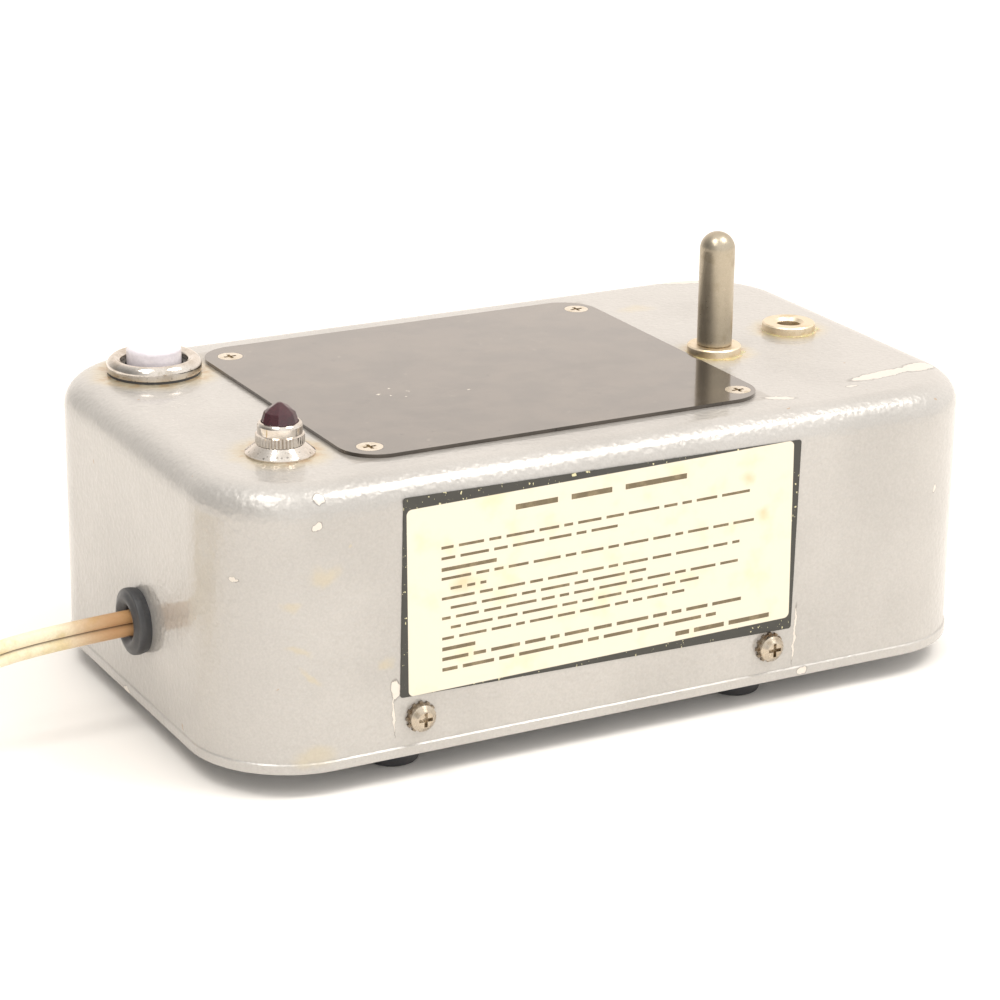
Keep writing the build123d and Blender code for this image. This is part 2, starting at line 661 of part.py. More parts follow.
def wire(points, radius):
    """Round insulated wire through the given corners, bent as gently as they allow."""
    with BuildPart() as lead:
        with BuildLine() as path:
            FilletPolyline(*points, radius=[min(r, 4.0) for r in bend_radii(points, 0.4)])
        with BuildSketch(Plane(path.line @ 0, z_dir=path.line % 0)):
            Circle(radius)
        sweep()
    return lead


def wiring():
    """Inner wires from the tags to the switch, the lamp and the coil."""
    floor = SW_BODY_TOP - SW_BODY_H - 6.0
    lamp = TOP - 31.0
    x = STRIP_X - 1.6
    runs = (
        ((SWITCH_XY[0] - 3.4, SWITCH_XY[1], floor), (SWITCH_XY[0] - 3.4, SWITCH_XY[1], 24.0),
         (x - 5.0, 9.0, 21.5), (x - 0.9, 9.0, 26.0)),
        ((SWITCH_XY[0] + 3.4, SWITCH_XY[1], floor), (SWITCH_XY[0] + 3.4, SWITCH_XY[1], 27.0),
         (x - 5.0, 1.4, 35.0), (x - 0.9, 1.4, 31.0)),
        ((LAMP_XY[0] - 2.6, LAMP_XY[1], lamp), (LAMP_XY[0] - 2.6, LAMP_XY[1], 25.0),
         (x - 5.0, -18.0, 22.0), (x - 0.9, -18.0, 26.5)),
        ((LAMP_XY[0] + 2.6, LAMP_XY[1], lamp), (LAMP_XY[0] + 2.6, LAMP_XY[1], 30.0),
         (x - 5.0, -12.0, 35.0), (x - 0.9, -12.0, 31.5)),
    )
    with BuildPart() as leads:
        for run in runs:
            add(wire(run, 0.8).part)
    save(leads, "hookup_wires")
    y = STACK / 2 + 7.0
    with BuildPart() as coil_leads:
        for side, tag in ((-1, -18.0), (1, 9.0)):
            run = ((CORE_X - 16.0, side * (y + 3.7), 44.0), (CORE_X - 24.0, side * (y + 6.0), 44.0),
                   (-50.5, side * (y + 6.0), 41.0), (-66.5, tag, 38.0), (x - 0.9, tag, 32.5))
            add(wire(run, 0.8).part)
    save(coil_leads, "coil_leads")


# ==== mains lead ==============================================================
def cord_tube(points, label):
    """Flat two-core lead: two round cores one above the other with a thin web."""
    radii = bend_radii(points)
    core = CORD_T / 2
    with BuildPart() as cord:
        with BuildLine() as path:
            FilletPolyline(*points, radius=radii)
        start = path.line @ 0
        along = path.line % 0
        with BuildSketch(Plane(start, x_dir=Vector(0, 0, 1), z_dir=along)) as section:
            with Locations((CORD_W / 2 - core, 0), (core - CORD_W / 2, 0)):
                Circle(core)
            Rectangle(CORD_W / 2, CORD_T * 0.42)
        sweep(transition=Transition.RIGHT)
    length = sum(edge.length for edge in path.edges())
    print(f"{label}: length {length:.1f}, bends {[round(r, 1) for r in radii]}",
          f"volume {cord.part.volume:.1f} of {section.sketch.area * length:.1f}")
    save(cord, label)


def mains_lead():
    """Grommet, flat lead, its coil, its tail and the plug."""
    with BuildPart() as grommet:
        with BuildSketch(Plane.XY):
            with BuildLine():
                Polyline((GROMMET_BORE, -WALL - 1.8), (GROMMET_BORE, 1.3))
                Spline((GROMMET_BORE, 1.3), (GROMMET_BORE + 0.75, 2.85), (GROMMET_BORE + 2.1, 3.4),
                       (GROMMET_R - 0.6, 2.8), (GROMMET_R, 1.4), tangents=((0, 1), (0, -1)))
                Polyline((GROMMET_R, 1.4), (GROMMET_R - 0.3, 0), (WALL_HOLE_R - FIT, 0), (WALL_HOLE_R - FIT, -WALL),
                         (GROMMET_R - 0.5, -WALL), (GROMMET_R - 0.9, -WALL - 1.8), (GROMMET_BORE, -WALL - 1.8))
            make_face()
        revolve(axis=Axis.Y)
    with BuildPart() as placed:
        with Locations(Location((LEFT, CORD_Y, CORD_Z), (0, 0, 90))):
            add(grommet.part)
    save(placed, "cord_grommet")
    cord_tube(CORD_POINTS, "power_cord")
    with BuildPart() as coil:
        with BuildSketch():
            with Locations(COIL_MID):
                Circle(COIL_R_OUT)
                Circle(COIL_R_IN, mode=Mode.SUBTRACT)
        extrude(amount=COIL_H)
        fillet(coil.edges().filter_by(GeomType.CIRCLE), 2.4)
    save(coil, "cord_coil")
    cord_tube(TAIL_POINTS, "cord_tail")
    x, y, z = TAIL_POINTS[-1]
    heading = degrees(atan2(TAIL_POINTS[-2][1] - y, TAIL_POINTS[-2][0] - x)) + 180
    with BuildPart() as shape:
        with BuildSketch(Plane.YZ):
            with Locations((0, 0)):
                RectangleRounded(11, 9, 3)
        with BuildSketch(Plane.YZ.offset(12)):
            RectangleRounded(24, 16, 5)
        loft()
        with BuildSketch(Plane.YZ.offset(12)):
            RectangleRounded(24, 16, 5)
        extrude(amount=13)
        fillet(shape.edges().group_by(Axis.X)[-1], 1.2)
    with BuildPart() as plug:
        with Locations(Location((x, y, z), (0, 0, heading))):
            add(shape.part)
    save(plug, "plug_body")
    with BuildPart() as blade:
        for side in (-1, 1):
            with Locations((25 + 8.5 - 0.0, side * 6.35, 0)):
                Box(17.0, 1.5, 6.3)
    with BuildPart() as blades:
        with Locations(Location((x, y, z), (0, 0, heading))):
            add(blade.part)
    save(blades, "plug_blades")


cover()
pole_plate()
pole_plate_screws()
label_plate()
base_tray()
cover_screws()
feet()
spindle()
sockets()
switch()
pilot_lamp()
magnet()
tag_strip()
wiring()
mains_lead()
print(len(NODES), "pieces")
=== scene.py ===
"""Looks of a bench-top bulk tape eraser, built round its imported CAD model.

The CAD nodes keep their places and shapes and get their real finishes here. The supply lead, the
lamp's faceted jewel, the label's printing and the shellac round the sockets are new pieces.
"""

import logging
import math
from dataclasses import dataclass
from enum import Enum
from typing import Any, Iterable, Sequence

import bmesh
import bpy
from mathutils import Euler, Matrix, Vector


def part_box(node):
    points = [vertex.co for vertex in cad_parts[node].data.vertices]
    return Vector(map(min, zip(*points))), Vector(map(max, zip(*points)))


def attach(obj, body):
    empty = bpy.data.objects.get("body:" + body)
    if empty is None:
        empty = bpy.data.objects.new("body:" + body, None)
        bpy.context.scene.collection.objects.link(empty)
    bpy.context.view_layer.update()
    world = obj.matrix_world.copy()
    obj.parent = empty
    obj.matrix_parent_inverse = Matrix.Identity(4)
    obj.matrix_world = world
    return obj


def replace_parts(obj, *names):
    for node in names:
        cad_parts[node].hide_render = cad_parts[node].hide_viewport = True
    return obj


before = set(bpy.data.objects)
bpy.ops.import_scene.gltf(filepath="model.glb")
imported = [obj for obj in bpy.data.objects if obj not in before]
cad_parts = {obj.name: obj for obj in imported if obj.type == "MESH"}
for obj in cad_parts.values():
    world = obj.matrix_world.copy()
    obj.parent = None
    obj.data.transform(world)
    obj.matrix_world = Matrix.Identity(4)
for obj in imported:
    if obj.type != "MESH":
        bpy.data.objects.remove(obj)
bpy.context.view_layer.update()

log = logging.getLogger("tape_eraser")

MM = 0.001
Spot = tuple[tuple[float, float, float], tuple[float, float, float], tuple[float, float, float]]
Stain = tuple[tuple[float, float, float], float, float]


class Body(Enum):
    """The bodies of the model that new pieces ride on."""

    HOUSING = "housing"
    LAMP_CAP = "pilot_cap"


def linear(code: str) -> tuple[float, float, float, float]:
    """Turns an sRGB hex colour into linear light.

    Args:
        code: six hex digits, with or without a leading #.

    Returns:
        Red, green, blue and an alpha of 1.
    """
    digits = code.lstrip("#")
    parts = [int(digits[i:i + 2], 16) / 255 for i in (0, 2, 4)]
    red, green, blue = (c / 12.92 if c <= 0.04045 else ((c + 0.055) / 1.055) ** 2.4 for c in parts)
    return red, green, blue, 1.0


# ---------------------------------------------------------------- materials


class Graph:
    """The node tree of one material while it is being wired."""

    def __init__(self, name: str) -> None:
        """Starts an empty material.

        Args:
            name: the material's name.
        """
        self.material = bpy.data.materials.new(name)
        self.material.use_nodes = True
        self.tree = self.material.node_tree
        self.tree.nodes.clear()
        self.where = self.add("ShaderNodeTexCoord", output="Object")

    def add(self, kind: str, inputs: dict[Any, Any] | None = None, output: int | str = 0,
            **settings: Any) -> bpy.types.NodeSocket | None:
        """Adds a node with its settings and links.

        Args:
            kind: the node's type name.
            inputs: socket name or number to a value or to the socket that feeds it.
            output: name or number of the output that is wanted.
            **settings: properties of the node.

        Returns:
            The wanted output, or nothing from a node that has none.
        """
        node = self.tree.nodes.new(kind)
        for key, value in settings.items():
            setattr(node, key, value)
        for key, value in (inputs or {}).items():
            if isinstance(value, bpy.types.NodeSocket):
                self.tree.links.new(value, node.inputs[key])
            else:
                node.inputs[key].default_value = value
        return node.outputs[output] if len(node.outputs) else None

    def clouds(self, size_mm: float, low: float = 0.0, high: float = 1.0, to_low: float = 0.0,
               to_high: float = 1.0, detail: float = 2.0,
               stretch: Sequence[float] = (1, 1, 1)) -> bpy.types.NodeSocket:
        """Gives a cloudy pattern whose features are size_mm across.

        Args:
            size_mm: size of one feature in millimetres.
            low: cloud density, 0 to 1, that gives to_low.
            high: cloud density that gives to_high.
            to_low: result in the gaps.
            to_high: result in the thick of a cloud.
            detail: octaves of finer features.
            stretch: how many times longer features are along each axis.

        Returns:
            The pattern.
        """
        place = self.add("ShaderNodeMapping", {"Vector": self.where,
                                               "Scale": [1 / (MM * size_mm * s) for s in stretch]})
        cloud = self.add("ShaderNodeTexNoise", {"Vector": place, "Scale": 1.0, "Detail": detail})
        return self.add("ShaderNodeMapRange", {0: cloud, 1: low, 2: high, 3: to_low, 4: to_high},
                        interpolation_type="SMOOTHSTEP")

    def dots(self, size_mm: float, low: float, high: float, to_low: float = 0.0, to_high: float = 1.0,
             vector: Any = None, feature: str = "F1") -> bpy.types.NodeSocket:
        """Gives a pattern of scattered dots.

        Args:
            size_mm: the usual distance between dots in millimetres.
            low: distance from a dot's middle, in sizes, that gives to_low.
            high: distance that gives to_high.
            to_low: result at the near distance.
            to_high: result at the far distance.
            vector: coordinates to use in place of the object's own.
            feature: how dots meet where they are crowded.

        Returns:
            The pattern.
        """
        away = self.add("ShaderNodeTexVoronoi", {"Vector": vector or self.where, "Scale": 1 / (MM * size_mm)},
                        feature=feature)
        return self.add("ShaderNodeMapRange", {0: away, 1: low, 2: high, 3: to_low, 4: to_high},
                        interpolation_type="SMOOTHSTEP")

    def warped(self, size_mm: float, reach_mm: float) -> bpy.types.NodeSocket:
        """Gives the object coordinates pushed about, for ragged outlines.

        Args:
            size_mm: size of one wobble.
            reach_mm: the furthest push.

        Returns:
            The coordinates.
        """
        place = self.add("ShaderNodeMapping", {"Vector": self.where, "Scale": [1 / (MM * size_mm)] * 3})
        cloud = self.add("ShaderNodeTexNoise", {"Vector": place, "Scale": 1.0, "Detail": 3.0}, "Color")
        centred = self.add("ShaderNodeVectorMath", {0: cloud, 1: (0.5, 0.5, 0.5)}, operation="SUBTRACT")
        push = self.add("ShaderNodeVectorMath", {0: centred, "Scale": reach_mm * MM * 2}, operation="SCALE")
        return self.add("ShaderNodeVectorMath", {0: self.where, 1: push}, operation="ADD")

    def spots(self, places: Iterable[Spot], vector: Any) -> bpy.types.NodeSocket:
        """Gives how far a point is from the nearest of some oval spots, 1 at a spot's edge.

        Args:
            places: centre in millimetres, turn in degrees and half sizes in millimetres.
            vector: the coordinates to measure in.

        Returns:
            0 at a spot's middle, 1 at its edge and more outside.
        """
        nearest: Any = 99.0
        for centre, turn, half in places:
            spot = self.add("ShaderNodeMapping", {
                "Vector": vector, "Location": [c * MM for c in centre],
                "Rotation": [math.radians(a) for a in turn], "Scale": [h * MM for h in half]},
                vector_type="TEXTURE")
            away = self.add("ShaderNodeVectorMath", {0: spot}, "Value", operation="LENGTH")
            nearest = self.add("ShaderNodeMath", {0: away, 1: nearest}, operation="MINIMUM")
        return nearest

    def halo(self, stain: Stain, vector: Any) -> bpy.types.NodeSocket:
        """Gives a stain round a round fitting, full at its edge and gone at the outer radius.

        Args:
            stain: a point at the fitting's middle, its radius and where the stain ends, in millimetres.
            vector: the coordinates to measure in.

        Returns:
            The stain's strength.
        """
        centre, inner, outer = stain
        away = self.add("ShaderNodeVectorMath", {0: vector, 1: [c * MM for c in centre]}, "Value",
                        operation="DISTANCE")
        return self.add("ShaderNodeMapRange", {0: away, 1: inner * MM, 2: outer * MM, 3: 1.0, 4: 0.0},
                        interpolation_type="SMOOTHSTEP")

    def outside(self, centre: Sequence[float], half: Sequence[float], tilt: float,
                vector: Any) -> bpy.types.NodeSocket:
        """Gives how far a point is outside a box, in metres.

        Args:
            centre: the box's middle in metres.
            half: its half sizes in metres.
            tilt: its turn about Y in radians.
            vector: the coordinates to measure in.

        Returns:
            The distance, 0 inside.
        """
        place = self.add("ShaderNodeMapping", {"Vector": vector, "Location": centre, "Rotation": (0, tilt, 0)},
                         vector_type="TEXTURE")
        folded = self.add("ShaderNodeVectorMath", {0: place}, operation="ABSOLUTE")
        past = self.add("ShaderNodeVectorMath", {0: folded, 1: half}, operation="SUBTRACT")
        clear = self.add("ShaderNodeVectorMath", {0: past, 1: (0, 0, 0)}, operation="MAXIMUM")
        return self.add("ShaderNodeVectorMath", {0: clear}, "Value", operation="LENGTH")


@dataclass(frozen=True)
class Finish:
    """A surface finish: two tones in patches, a grain in the gloss and a fine relief.

    The colours are sRGB hex, the sizes are millimetres.
    """

    name: str
    tone: str
    second_tone: str
    metallic: float = 0.0
    roughness: float = 0.5
    gloss_spread: float = 0.12
    grain_mm: float = 0.8
    relief_mm: float = 0.01
    patch_mm: float = 9.0
    patch_share: float = 0.5
    stretch: tuple[float, float, float] = (1.0, 1.0, 1.0)
    coat: float = 0.0
    coat_roughness: float = 0.05
    transmission: float = 0.0
    subsurface: float = 0.0
    subsurface_mm: float = 1.0
    ior: float = 1.5
    tint: str = "#FFFFFF"

    def colour(self, graph: Graph) -> bpy.types.NodeSocket:
        """Gives the colour pattern.

        Args:
            graph: the material being wired.

        Returns:
            The colour socket.
        """
        patches = graph.clouds(self.patch_mm, 0.62 - 0.35 * self.patch_share, 0.78 - 0.2 * self.patch_share,
                               detail=5.0, stretch=self.stretch)
        specks = graph.clouds(self.grain_mm, 0.3, 0.7, 0.94, 1.04, stretch=self.stretch)
        mixed = graph.add("ShaderNodeMix", {0: patches, 6: linear(self.tone), 7: linear(self.second_tone)}, 2,
                          data_type="RGBA")
        return graph.add("ShaderNodeVectorMath", {0: mixed, "Scale": specks}, operation="SCALE")

    def gloss(self, graph: Graph) -> bpy.types.NodeSocket:
        """Gives the roughness pattern.

        Args:
            graph: the material being wired.

        Returns:
            The roughness socket.
        """
        return graph.clouds(self.grain_mm * 3, 0.25, 0.75, max(0.02, self.roughness - self.gloss_spread / 2),
                            self.roughness + self.gloss_spread / 2, detail=4.0, stretch=self.stretch)

    def shine(self, graph: Graph) -> Any:
        """Gives the strength of the surface reflection.

        Args:
            graph: the material being wired; not used here.

        Returns:
            A value, or the socket that feeds it.
        """
        return 0.5

    def relief(self, graph: Graph) -> bpy.types.NodeSocket:
        """Gives the height pattern, 0 to 1.

        Args:
            graph: the material being wired.

        Returns:
            The height socket.
        """
        return graph.clouds(self.grain_mm, 0.2, 0.8, detail=3.0, stretch=self.stretch)

    def material(self) -> bpy.types.Material:
        """Builds the material.

        Returns:
            The new material.
        """
        graph = Graph(self.name)
        bump = graph.add("ShaderNodeBump", {"Height": self.relief(graph), "Strength": 1.0,
                                            "Distance": self.relief_mm * MM})
        inputs: dict[str, Any] = {
            "Base Color": self.colour(graph), "Roughness": self.gloss(graph), "Normal": bump,
            "Metallic": self.metallic, "Coat Weight": self.coat, "Coat Roughness": self.coat_roughness,
            "Transmission Weight": self.transmission, "Subsurface Weight": self.subsurface,
            "Subsurface Scale": self.subsurface_mm * MM, "Specular Tint": linear(self.tint),
            "Specular IOR Level": self.shine(graph),
        }
        if self.metallic < 1:
            inputs["IOR"] = self.ior
        graph.add("ShaderNodeOutputMaterial", {"Surface": graph.add("ShaderNodeBsdfPrincipled", inputs)})
        return graph.material


@dataclass(frozen=True)
class HammerPaint(Finish):
    """Stoved hammer-finish enamel: aluminium flake under a glossy skin with shallow round dimples.

    It gives the eye a warm silver with fine sparkle, broken highlights on the round edges, yellowed
    rings round the fittings and pale primer where it is knocked off.
    """

    dimple_mm: float = 1.15
    primer: str = "#DAD2C8"
    bruise: str = "#5F5850"
    rust: str = "#A87F4A"
    varnish: str = "#C9B684"
    soil_and_shade: str = "#8A8074"
    chips: tuple[Spot, ...] = ()
    stains: tuple[Spot, ...] = ()
    rings: tuple[Stain, ...] = ()
    plate: tuple[tuple[float, float, float], tuple[float, float, float]] = ((0, 0, 0), (0, 0, 0))

    def chip_distance(self, graph: Graph) -> bpy.types.NodeSocket:
        """Gives the distance from the nearest chip with a ragged outline, 1 at its edge.

        Args:
            graph: the material being wired.

        Returns:
            The distance socket.
        """
        return graph.spots(self.chips, graph.warped(1.7, 0.8))

    def stained(self, graph: Graph, base: bpy.types.NodeSocket) -> bpy.types.NodeSocket:
        """Adds rust bleeding, yellowed varnish, dirt and a painted shade line along the plate's foot to the clean
        enamel.

        Args:
            graph: the material being wired.
            base: the clean colour.

        Returns:
            The colour socket.
        """
        ragged = graph.warped(5.0, 2.6)
        bleed = graph.add("ShaderNodeMapRange", {0: graph.spots(self.stains, ragged), 1: 0.3, 2: 1.15, 3: 0.3,
                                                 4: 0.0}, interpolation_type="SMOOTHSTEP")
        base = graph.add("ShaderNodeMix", {0: bleed, 6: base, 7: linear(self.varnish)}, 2, data_type="RGBA")
        mottle = graph.clouds(2.2, 0.42, 0.62, 0.08, 0.6, detail=4.0)
        for centre, inner, outer in self.rings:
            wide = graph.halo((centre, inner, outer + 2.5), ragged)
            pale = graph.add("ShaderNodeMath", {0: wide, 1: 0.5}, operation="MULTIPLY")
            base = graph.add("ShaderNodeMix", {0: pale, 6: base, 7: linear(self.varnish)}, 2, data_type="RGBA")
            near = graph.add("ShaderNodeMath", {0: graph.halo((centre, inner, outer), ragged), 1: mottle},
                             operation="MULTIPLY")
            base = graph.add("ShaderNodeMix", {0: near, 6: base, 7: linear(self.rust)}, 2, data_type="RGBA")
        # Painted shade with some dirt: a thin darker line on the enamel just outside the pole plate's edge.
        edge = graph.outside(*self.plate, 0.0, graph.where)
        line = graph.add("ShaderNodeMapRange", {0: edge, 1: 0.1 * MM, 2: 1.1 * MM, 3: 0.4, 4: 0.0},
                         interpolation_type="SMOOTHSTEP")
        base = graph.add("ShaderNodeMix", {0: line, 6: base, 7: linear(self.soil_and_shade)}, 2, data_type="RGBA")
        specks = graph.dots(11.0, 0.045, 0.03, 0.0, 0.5, graph.warped(3.0, 2.0))
        return graph.add("ShaderNodeMix", {0: specks, 6: base, 7: linear(self.rust)}, 2, data_type="RGBA")

    def colour(self, graph: Graph) -> bpy.types.NodeSocket:
        """Gives the enamel's colour with its stains and chips.

        Args:
            graph: the material being wired.

        Returns:
            The colour socket.
        """
        base = graph.add("ShaderNodeMix", {0: graph.clouds(34, 0.4, 0.7, detail=3.0), 6: linear(self.tone),
                                           7: linear(self.second_tone)}, 2, data_type="RGBA")
        flake = graph.clouds(0.45, 0.25, 0.75, 0.96, 1.035, detail=1.0)
        base = graph.add("ShaderNodeVectorMath", {0: base, "Scale": flake}, operation="SCALE")
        base = self.stained(graph, base)
        away = self.chip_distance(graph)
        rim = graph.add("ShaderNodeMapRange", {0: away, 1: 1.3, 2: 1.05, 3: 0.0, 4: 0.5},
                        interpolation_type="SMOOTHSTEP")
        base = graph.add("ShaderNodeMix", {0: rim, 6: base, 7: linear(self.bruise)}, 2, data_type="RGBA")
        bare = graph.add("ShaderNodeMapRange", {0: away, 1: 0.98, 2: 1.03, 3: 1.0, 4: 0.0})
        return graph.add("ShaderNodeMix", {0: bare, 6: base, 7: linear(self.primer)}, 2, data_type="RGBA")

    def relief(self, graph: Graph) -> bpy.types.NodeSocket:
        """Gives the dimples, the orange peel between them and the step down into each chip.

        Args:
            graph: the material being wired.

        Returns:
            The height socket.
        """
        dimples = graph.dots(self.dimple_mm, 0.1, 0.75, feature="SMOOTH_F1")
        peel = graph.add("ShaderNodeMath", {0: graph.clouds(0.6, 0.2, 0.8, 0.0, 0.35), 1: dimples}, operation="ADD")
        bare = graph.add("ShaderNodeMapRange", {0: self.chip_distance(graph), 1: 0.98, 2: 1.03, 3: 1.0, 4: 0.0})
        return graph.add("ShaderNodeMath", {0: peel, 1: bare}, operation="SUBTRACT")


@dataclass(frozen=True)
class PoleLacquer(Finish):
    """Black stoving lacquer on thin sheet, polished by years of sliding reels and dulled by dust."""

    # edge: the colour of the painted shade on the plate's sides.
    edge: str = "#1B1815"
    dust: str = "#A2978A"
    fleck: str = "#D9CFBE"
    rub: str = "#342E29"
    marks: tuple[Spot, ...] = ()
    ring: tuple[tuple[float, float, float], float] = ((0.0, 0.0, 0.0), 5.0)

    def colour(self, graph: Graph) -> bpy.types.NodeSocket:
        """Gives the lacquer's colour with its film of dust, rub marks and painted shade on the faces that do not face
        up.

        Args:
            graph: the material being wired.

        Returns:
            The colour socket.
        """
        base = graph.add("ShaderNodeMix", {0: graph.clouds(14, 0.35, 0.68, detail=5.0), 6: linear(self.tone),
                                           7: linear(self.second_tone)}, 2, data_type="RGBA")
        for size, reach, share in ((4.5, 1.5, 0.5), (1.3, 0.7, 0.2)):
            grit = graph.dots(size, 0.09, 0.03, 0.0, share, graph.warped(size / 2, reach))
            base = graph.add("ShaderNodeMix", {0: grit, 6: base, 7: linear(self.dust)}, 2, data_type="RGBA")
        away = graph.spots(self.marks, graph.warped(0.9, 0.9))
        flecks = graph.add("ShaderNodeMapRange", {0: away, 1: 0.8, 2: 1.05, 3: 0.75, 4: 0.0})
        base = graph.add("ShaderNodeMix", {0: flecks, 6: base, 7: linear(self.fleck)}, 2, data_type="RGBA")
        centre, radius = self.ring
        reach = graph.add("ShaderNodeVectorMath", {0: graph.warped(9, 0.5), 1: [c * MM for c in centre]}, "Value",
                          operation="DISTANCE")
        line = graph.add("ShaderNodeMath", {0: reach, 1: radius * MM}, operation="SUBTRACT")
        line = graph.add("ShaderNodeMath", {0: line}, operation="ABSOLUTE")
        line = graph.add("ShaderNodeMapRange", {0: line, 1: 0.12 * MM, 2: 0.28 * MM, 3: 0.5, 4: 0.0})
        base = graph.add("ShaderNodeMix", {0: line, 6: base, 7: linear(self.rub)}, 2, data_type="RGBA")
        # Painted shade: faces turned away from straight up, the plate's thin sides, take the dark edge colour.
        facing = graph.add("ShaderNodeSeparateXYZ", {0: graph.add("ShaderNodeNewGeometry", output="Normal")}, "Z")
        level = graph.add("ShaderNodeMapRange", {0: facing, 1: 0.6, 2: 0.9})
        return graph.add("ShaderNodeMix", {0: level, 6: linear(self.edge), 7: base}, 2, data_type="RGBA")

    def shine(self, graph: Graph) -> bpy.types.NodeSocket:
        """Gives the uneven shine that dust and finger marks leave.

        Args:
            graph: the material being wired.

        Returns:
            The strength socket.
        """
        film = graph.clouds(8, 0.36, 0.64, 0.36, 0.56, detail=7.0)
        grit = graph.dots(3.2, 0.03, 0.12, 0.25, 1.0, graph.warped(1.5, 1.2))
        return graph.add("ShaderNodeMath", {0: film, 1: grit}, operation="MULTIPLY")

    def gloss(self, graph: Graph) -> bpy.types.NodeSocket:
        """Gives the roughness: polished, with duller smears and fine sliding scratches.

        Args:
            graph: the material being wired.

        Returns:
            The roughness socket.
        """
        smear = graph.clouds(12, 0.35, 0.7, self.roughness, self.roughness + self.gloss_spread, detail=5.0,
                             stretch=(1.6, 1, 1))
        hair = graph.clouds(0.7, 0.55, 0.75, 0.0, 0.06, stretch=(26, 1, 1))
        return graph.add("ShaderNodeMath", {0: smear, 1: hair}, operation="ADD")


@dataclass(frozen=True)
class PrintedFoil(Finish):
    """Screen-printed label foil: cream ground, a dark border that flakes at its edges, browned patches."""

    border: str = "#302F29"
    foil: str = "#D3CBA0"
    browned: str = "#CDB277"
    centre: tuple[float, float, float] = (0.0, 0.0, 0.0)
    tilt: float = 0.0
    half: tuple[float, float] = (47.2, 21.45)
    border_mm: float = 1.3
    corner_mm: float = 1.2
    patches: tuple[Spot, ...] = (
        ((27.0, -54.5, 53.2), (0, 0, 0), (2.2, 9, 1.7)), ((31.0, -54.5, 44.5), (0, 0, 0), (1.8, 9, 1.8)),
        ((-41.0, -54.5, 41.0), (0, 0, 0), (3.0, 9, 2.2)))

    def colour(self, graph: Graph) -> bpy.types.NodeSocket:
        """Gives the label's ground, its border and the flakes gone from it.

        Args:
            graph: the material being wired.

        Returns:
            The colour socket.
        """
        across, up = ((h - self.border_mm - self.corner_mm) * MM for h in self.half)
        away = graph.outside(self.centre, (across, 1.0, up), self.tilt, graph.where)
        rim = self.corner_mm * MM
        in_border = graph.add("ShaderNodeMapRange", {0: away, 1: rim - 0.06 * MM, 2: rim + 0.06 * MM})
        ground = graph.add("ShaderNodeMix", {0: graph.clouds(9, 0.5, 0.75, 0.0, 0.8, detail=4.0), 6: linear(self.tone),
                                             7: linear(self.second_tone)}, 2, data_type="RGBA")
        patch = graph.add("ShaderNodeMapRange", {0: graph.spots(self.patches, graph.warped(4, 1.6)), 1: 0.2, 2: 1.2,
                                                 3: 0.5, 4: 0.0})
        ground = graph.add("ShaderNodeMix", {0: patch, 6: ground, 7: linear(self.browned)}, 2, data_type="RGBA")
        flaked = graph.add("ShaderNodeMath", {0: graph.clouds(1.3, 0.66, 0.69, detail=3.0),
                                              1: graph.clouds(0.5, 0.7, 0.74, stretch=(1, 1, 2))}, operation="MAXIMUM")
        border = graph.add("ShaderNodeMix", {0: flaked, 6: linear(self.border), 7: linear(self.foil)}, 2,
                           data_type="RGBA")
        return graph.add("ShaderNodeMix", {0: in_border, 6: ground, 7: border}, 2, data_type="RGBA")


@dataclass(frozen=True)
class PittedChrome(Finish):
    """Chromium plate, mirror-like, with dark pits where the foot of each fitting stays damp."""

    foot: float = 0.0
    pitted_mm: float = 2.2
    pit: str = "#3B3026"

    def colour(self, graph: Graph) -> bpy.types.NodeSocket:
        """Gives the plating's colour with its pits, thickest at the foot.

        Args:
            graph: the material being wired.

        Returns:
            The colour socket.
        """
        height = graph.add("ShaderNodeSeparateXYZ", {0: graph.where}, "Z")
        low = graph.add("ShaderNodeMapRange", {0: height, 1: (self.foot + self.pitted_mm) * MM, 2: self.foot * MM,
                                               3: 0.0, 4: 0.85})
        pits = graph.dots(0.9, 0.3, 0.16, vector=graph.warped(0.8, 0.5))
        share = graph.add("ShaderNodeMath", {0: pits, 1: low}, operation="MULTIPLY")
        return graph.add("ShaderNodeMix", {0: share, 6: super().colour(graph), 7: linear(self.pit)}, 2,
                         data_type="RGBA")


@dataclass(frozen=True)
class LeadVinyl(Finish):
    """Extruded soft vinyl, once ivory: browned where it was handled near the case, with painted shade darkening its
    groove.
    """

    exit: tuple[float, float, float] = (0.0, 0.0, 0.0)
    browned: str = "#B8834E"
    groove_shade_tone: str = "#5E472E"

    def colour(self, graph: Graph) -> bpy.types.NodeSocket:
        """Gives the vinyl's colour, its browning towards the case and the painted shade in the groove.

        Args:
            graph: the material being wired.

        Returns:
            The colour socket.
        """
        away = graph.add("ShaderNodeVectorMath", {0: graph.warped(6.0, 2.0), 1: self.exit}, "Value",
                         operation="DISTANCE")
        near = graph.add("ShaderNodeMapRange", {0: away, 1: 3 * MM, 2: 18 * MM, 3: 0.85, 4: 0.0},
                         interpolation_type="SMOOTHSTEP")
        base = graph.add("ShaderNodeMix", {0: near, 6: super().colour(graph), 7: linear(self.browned)}, 2,
                         data_type="RGBA")
        # Painted shade: the groove between the two cores is darkened in colour by the groove mask.
        groove = graph.add("ShaderNodeAttribute", output="Fac", attribute_name="groove")
        groove_shade_mask = graph.add("ShaderNodeMapRange", {0: groove, 1: 0.25, 2: 0.95, 3: 0.0, 4: 0.9})
        return graph.add("ShaderNodeMix", {0: groove_shade_mask, 6: base, 7: linear(self.groove_shade_tone)}, 2, data_type="RGBA")


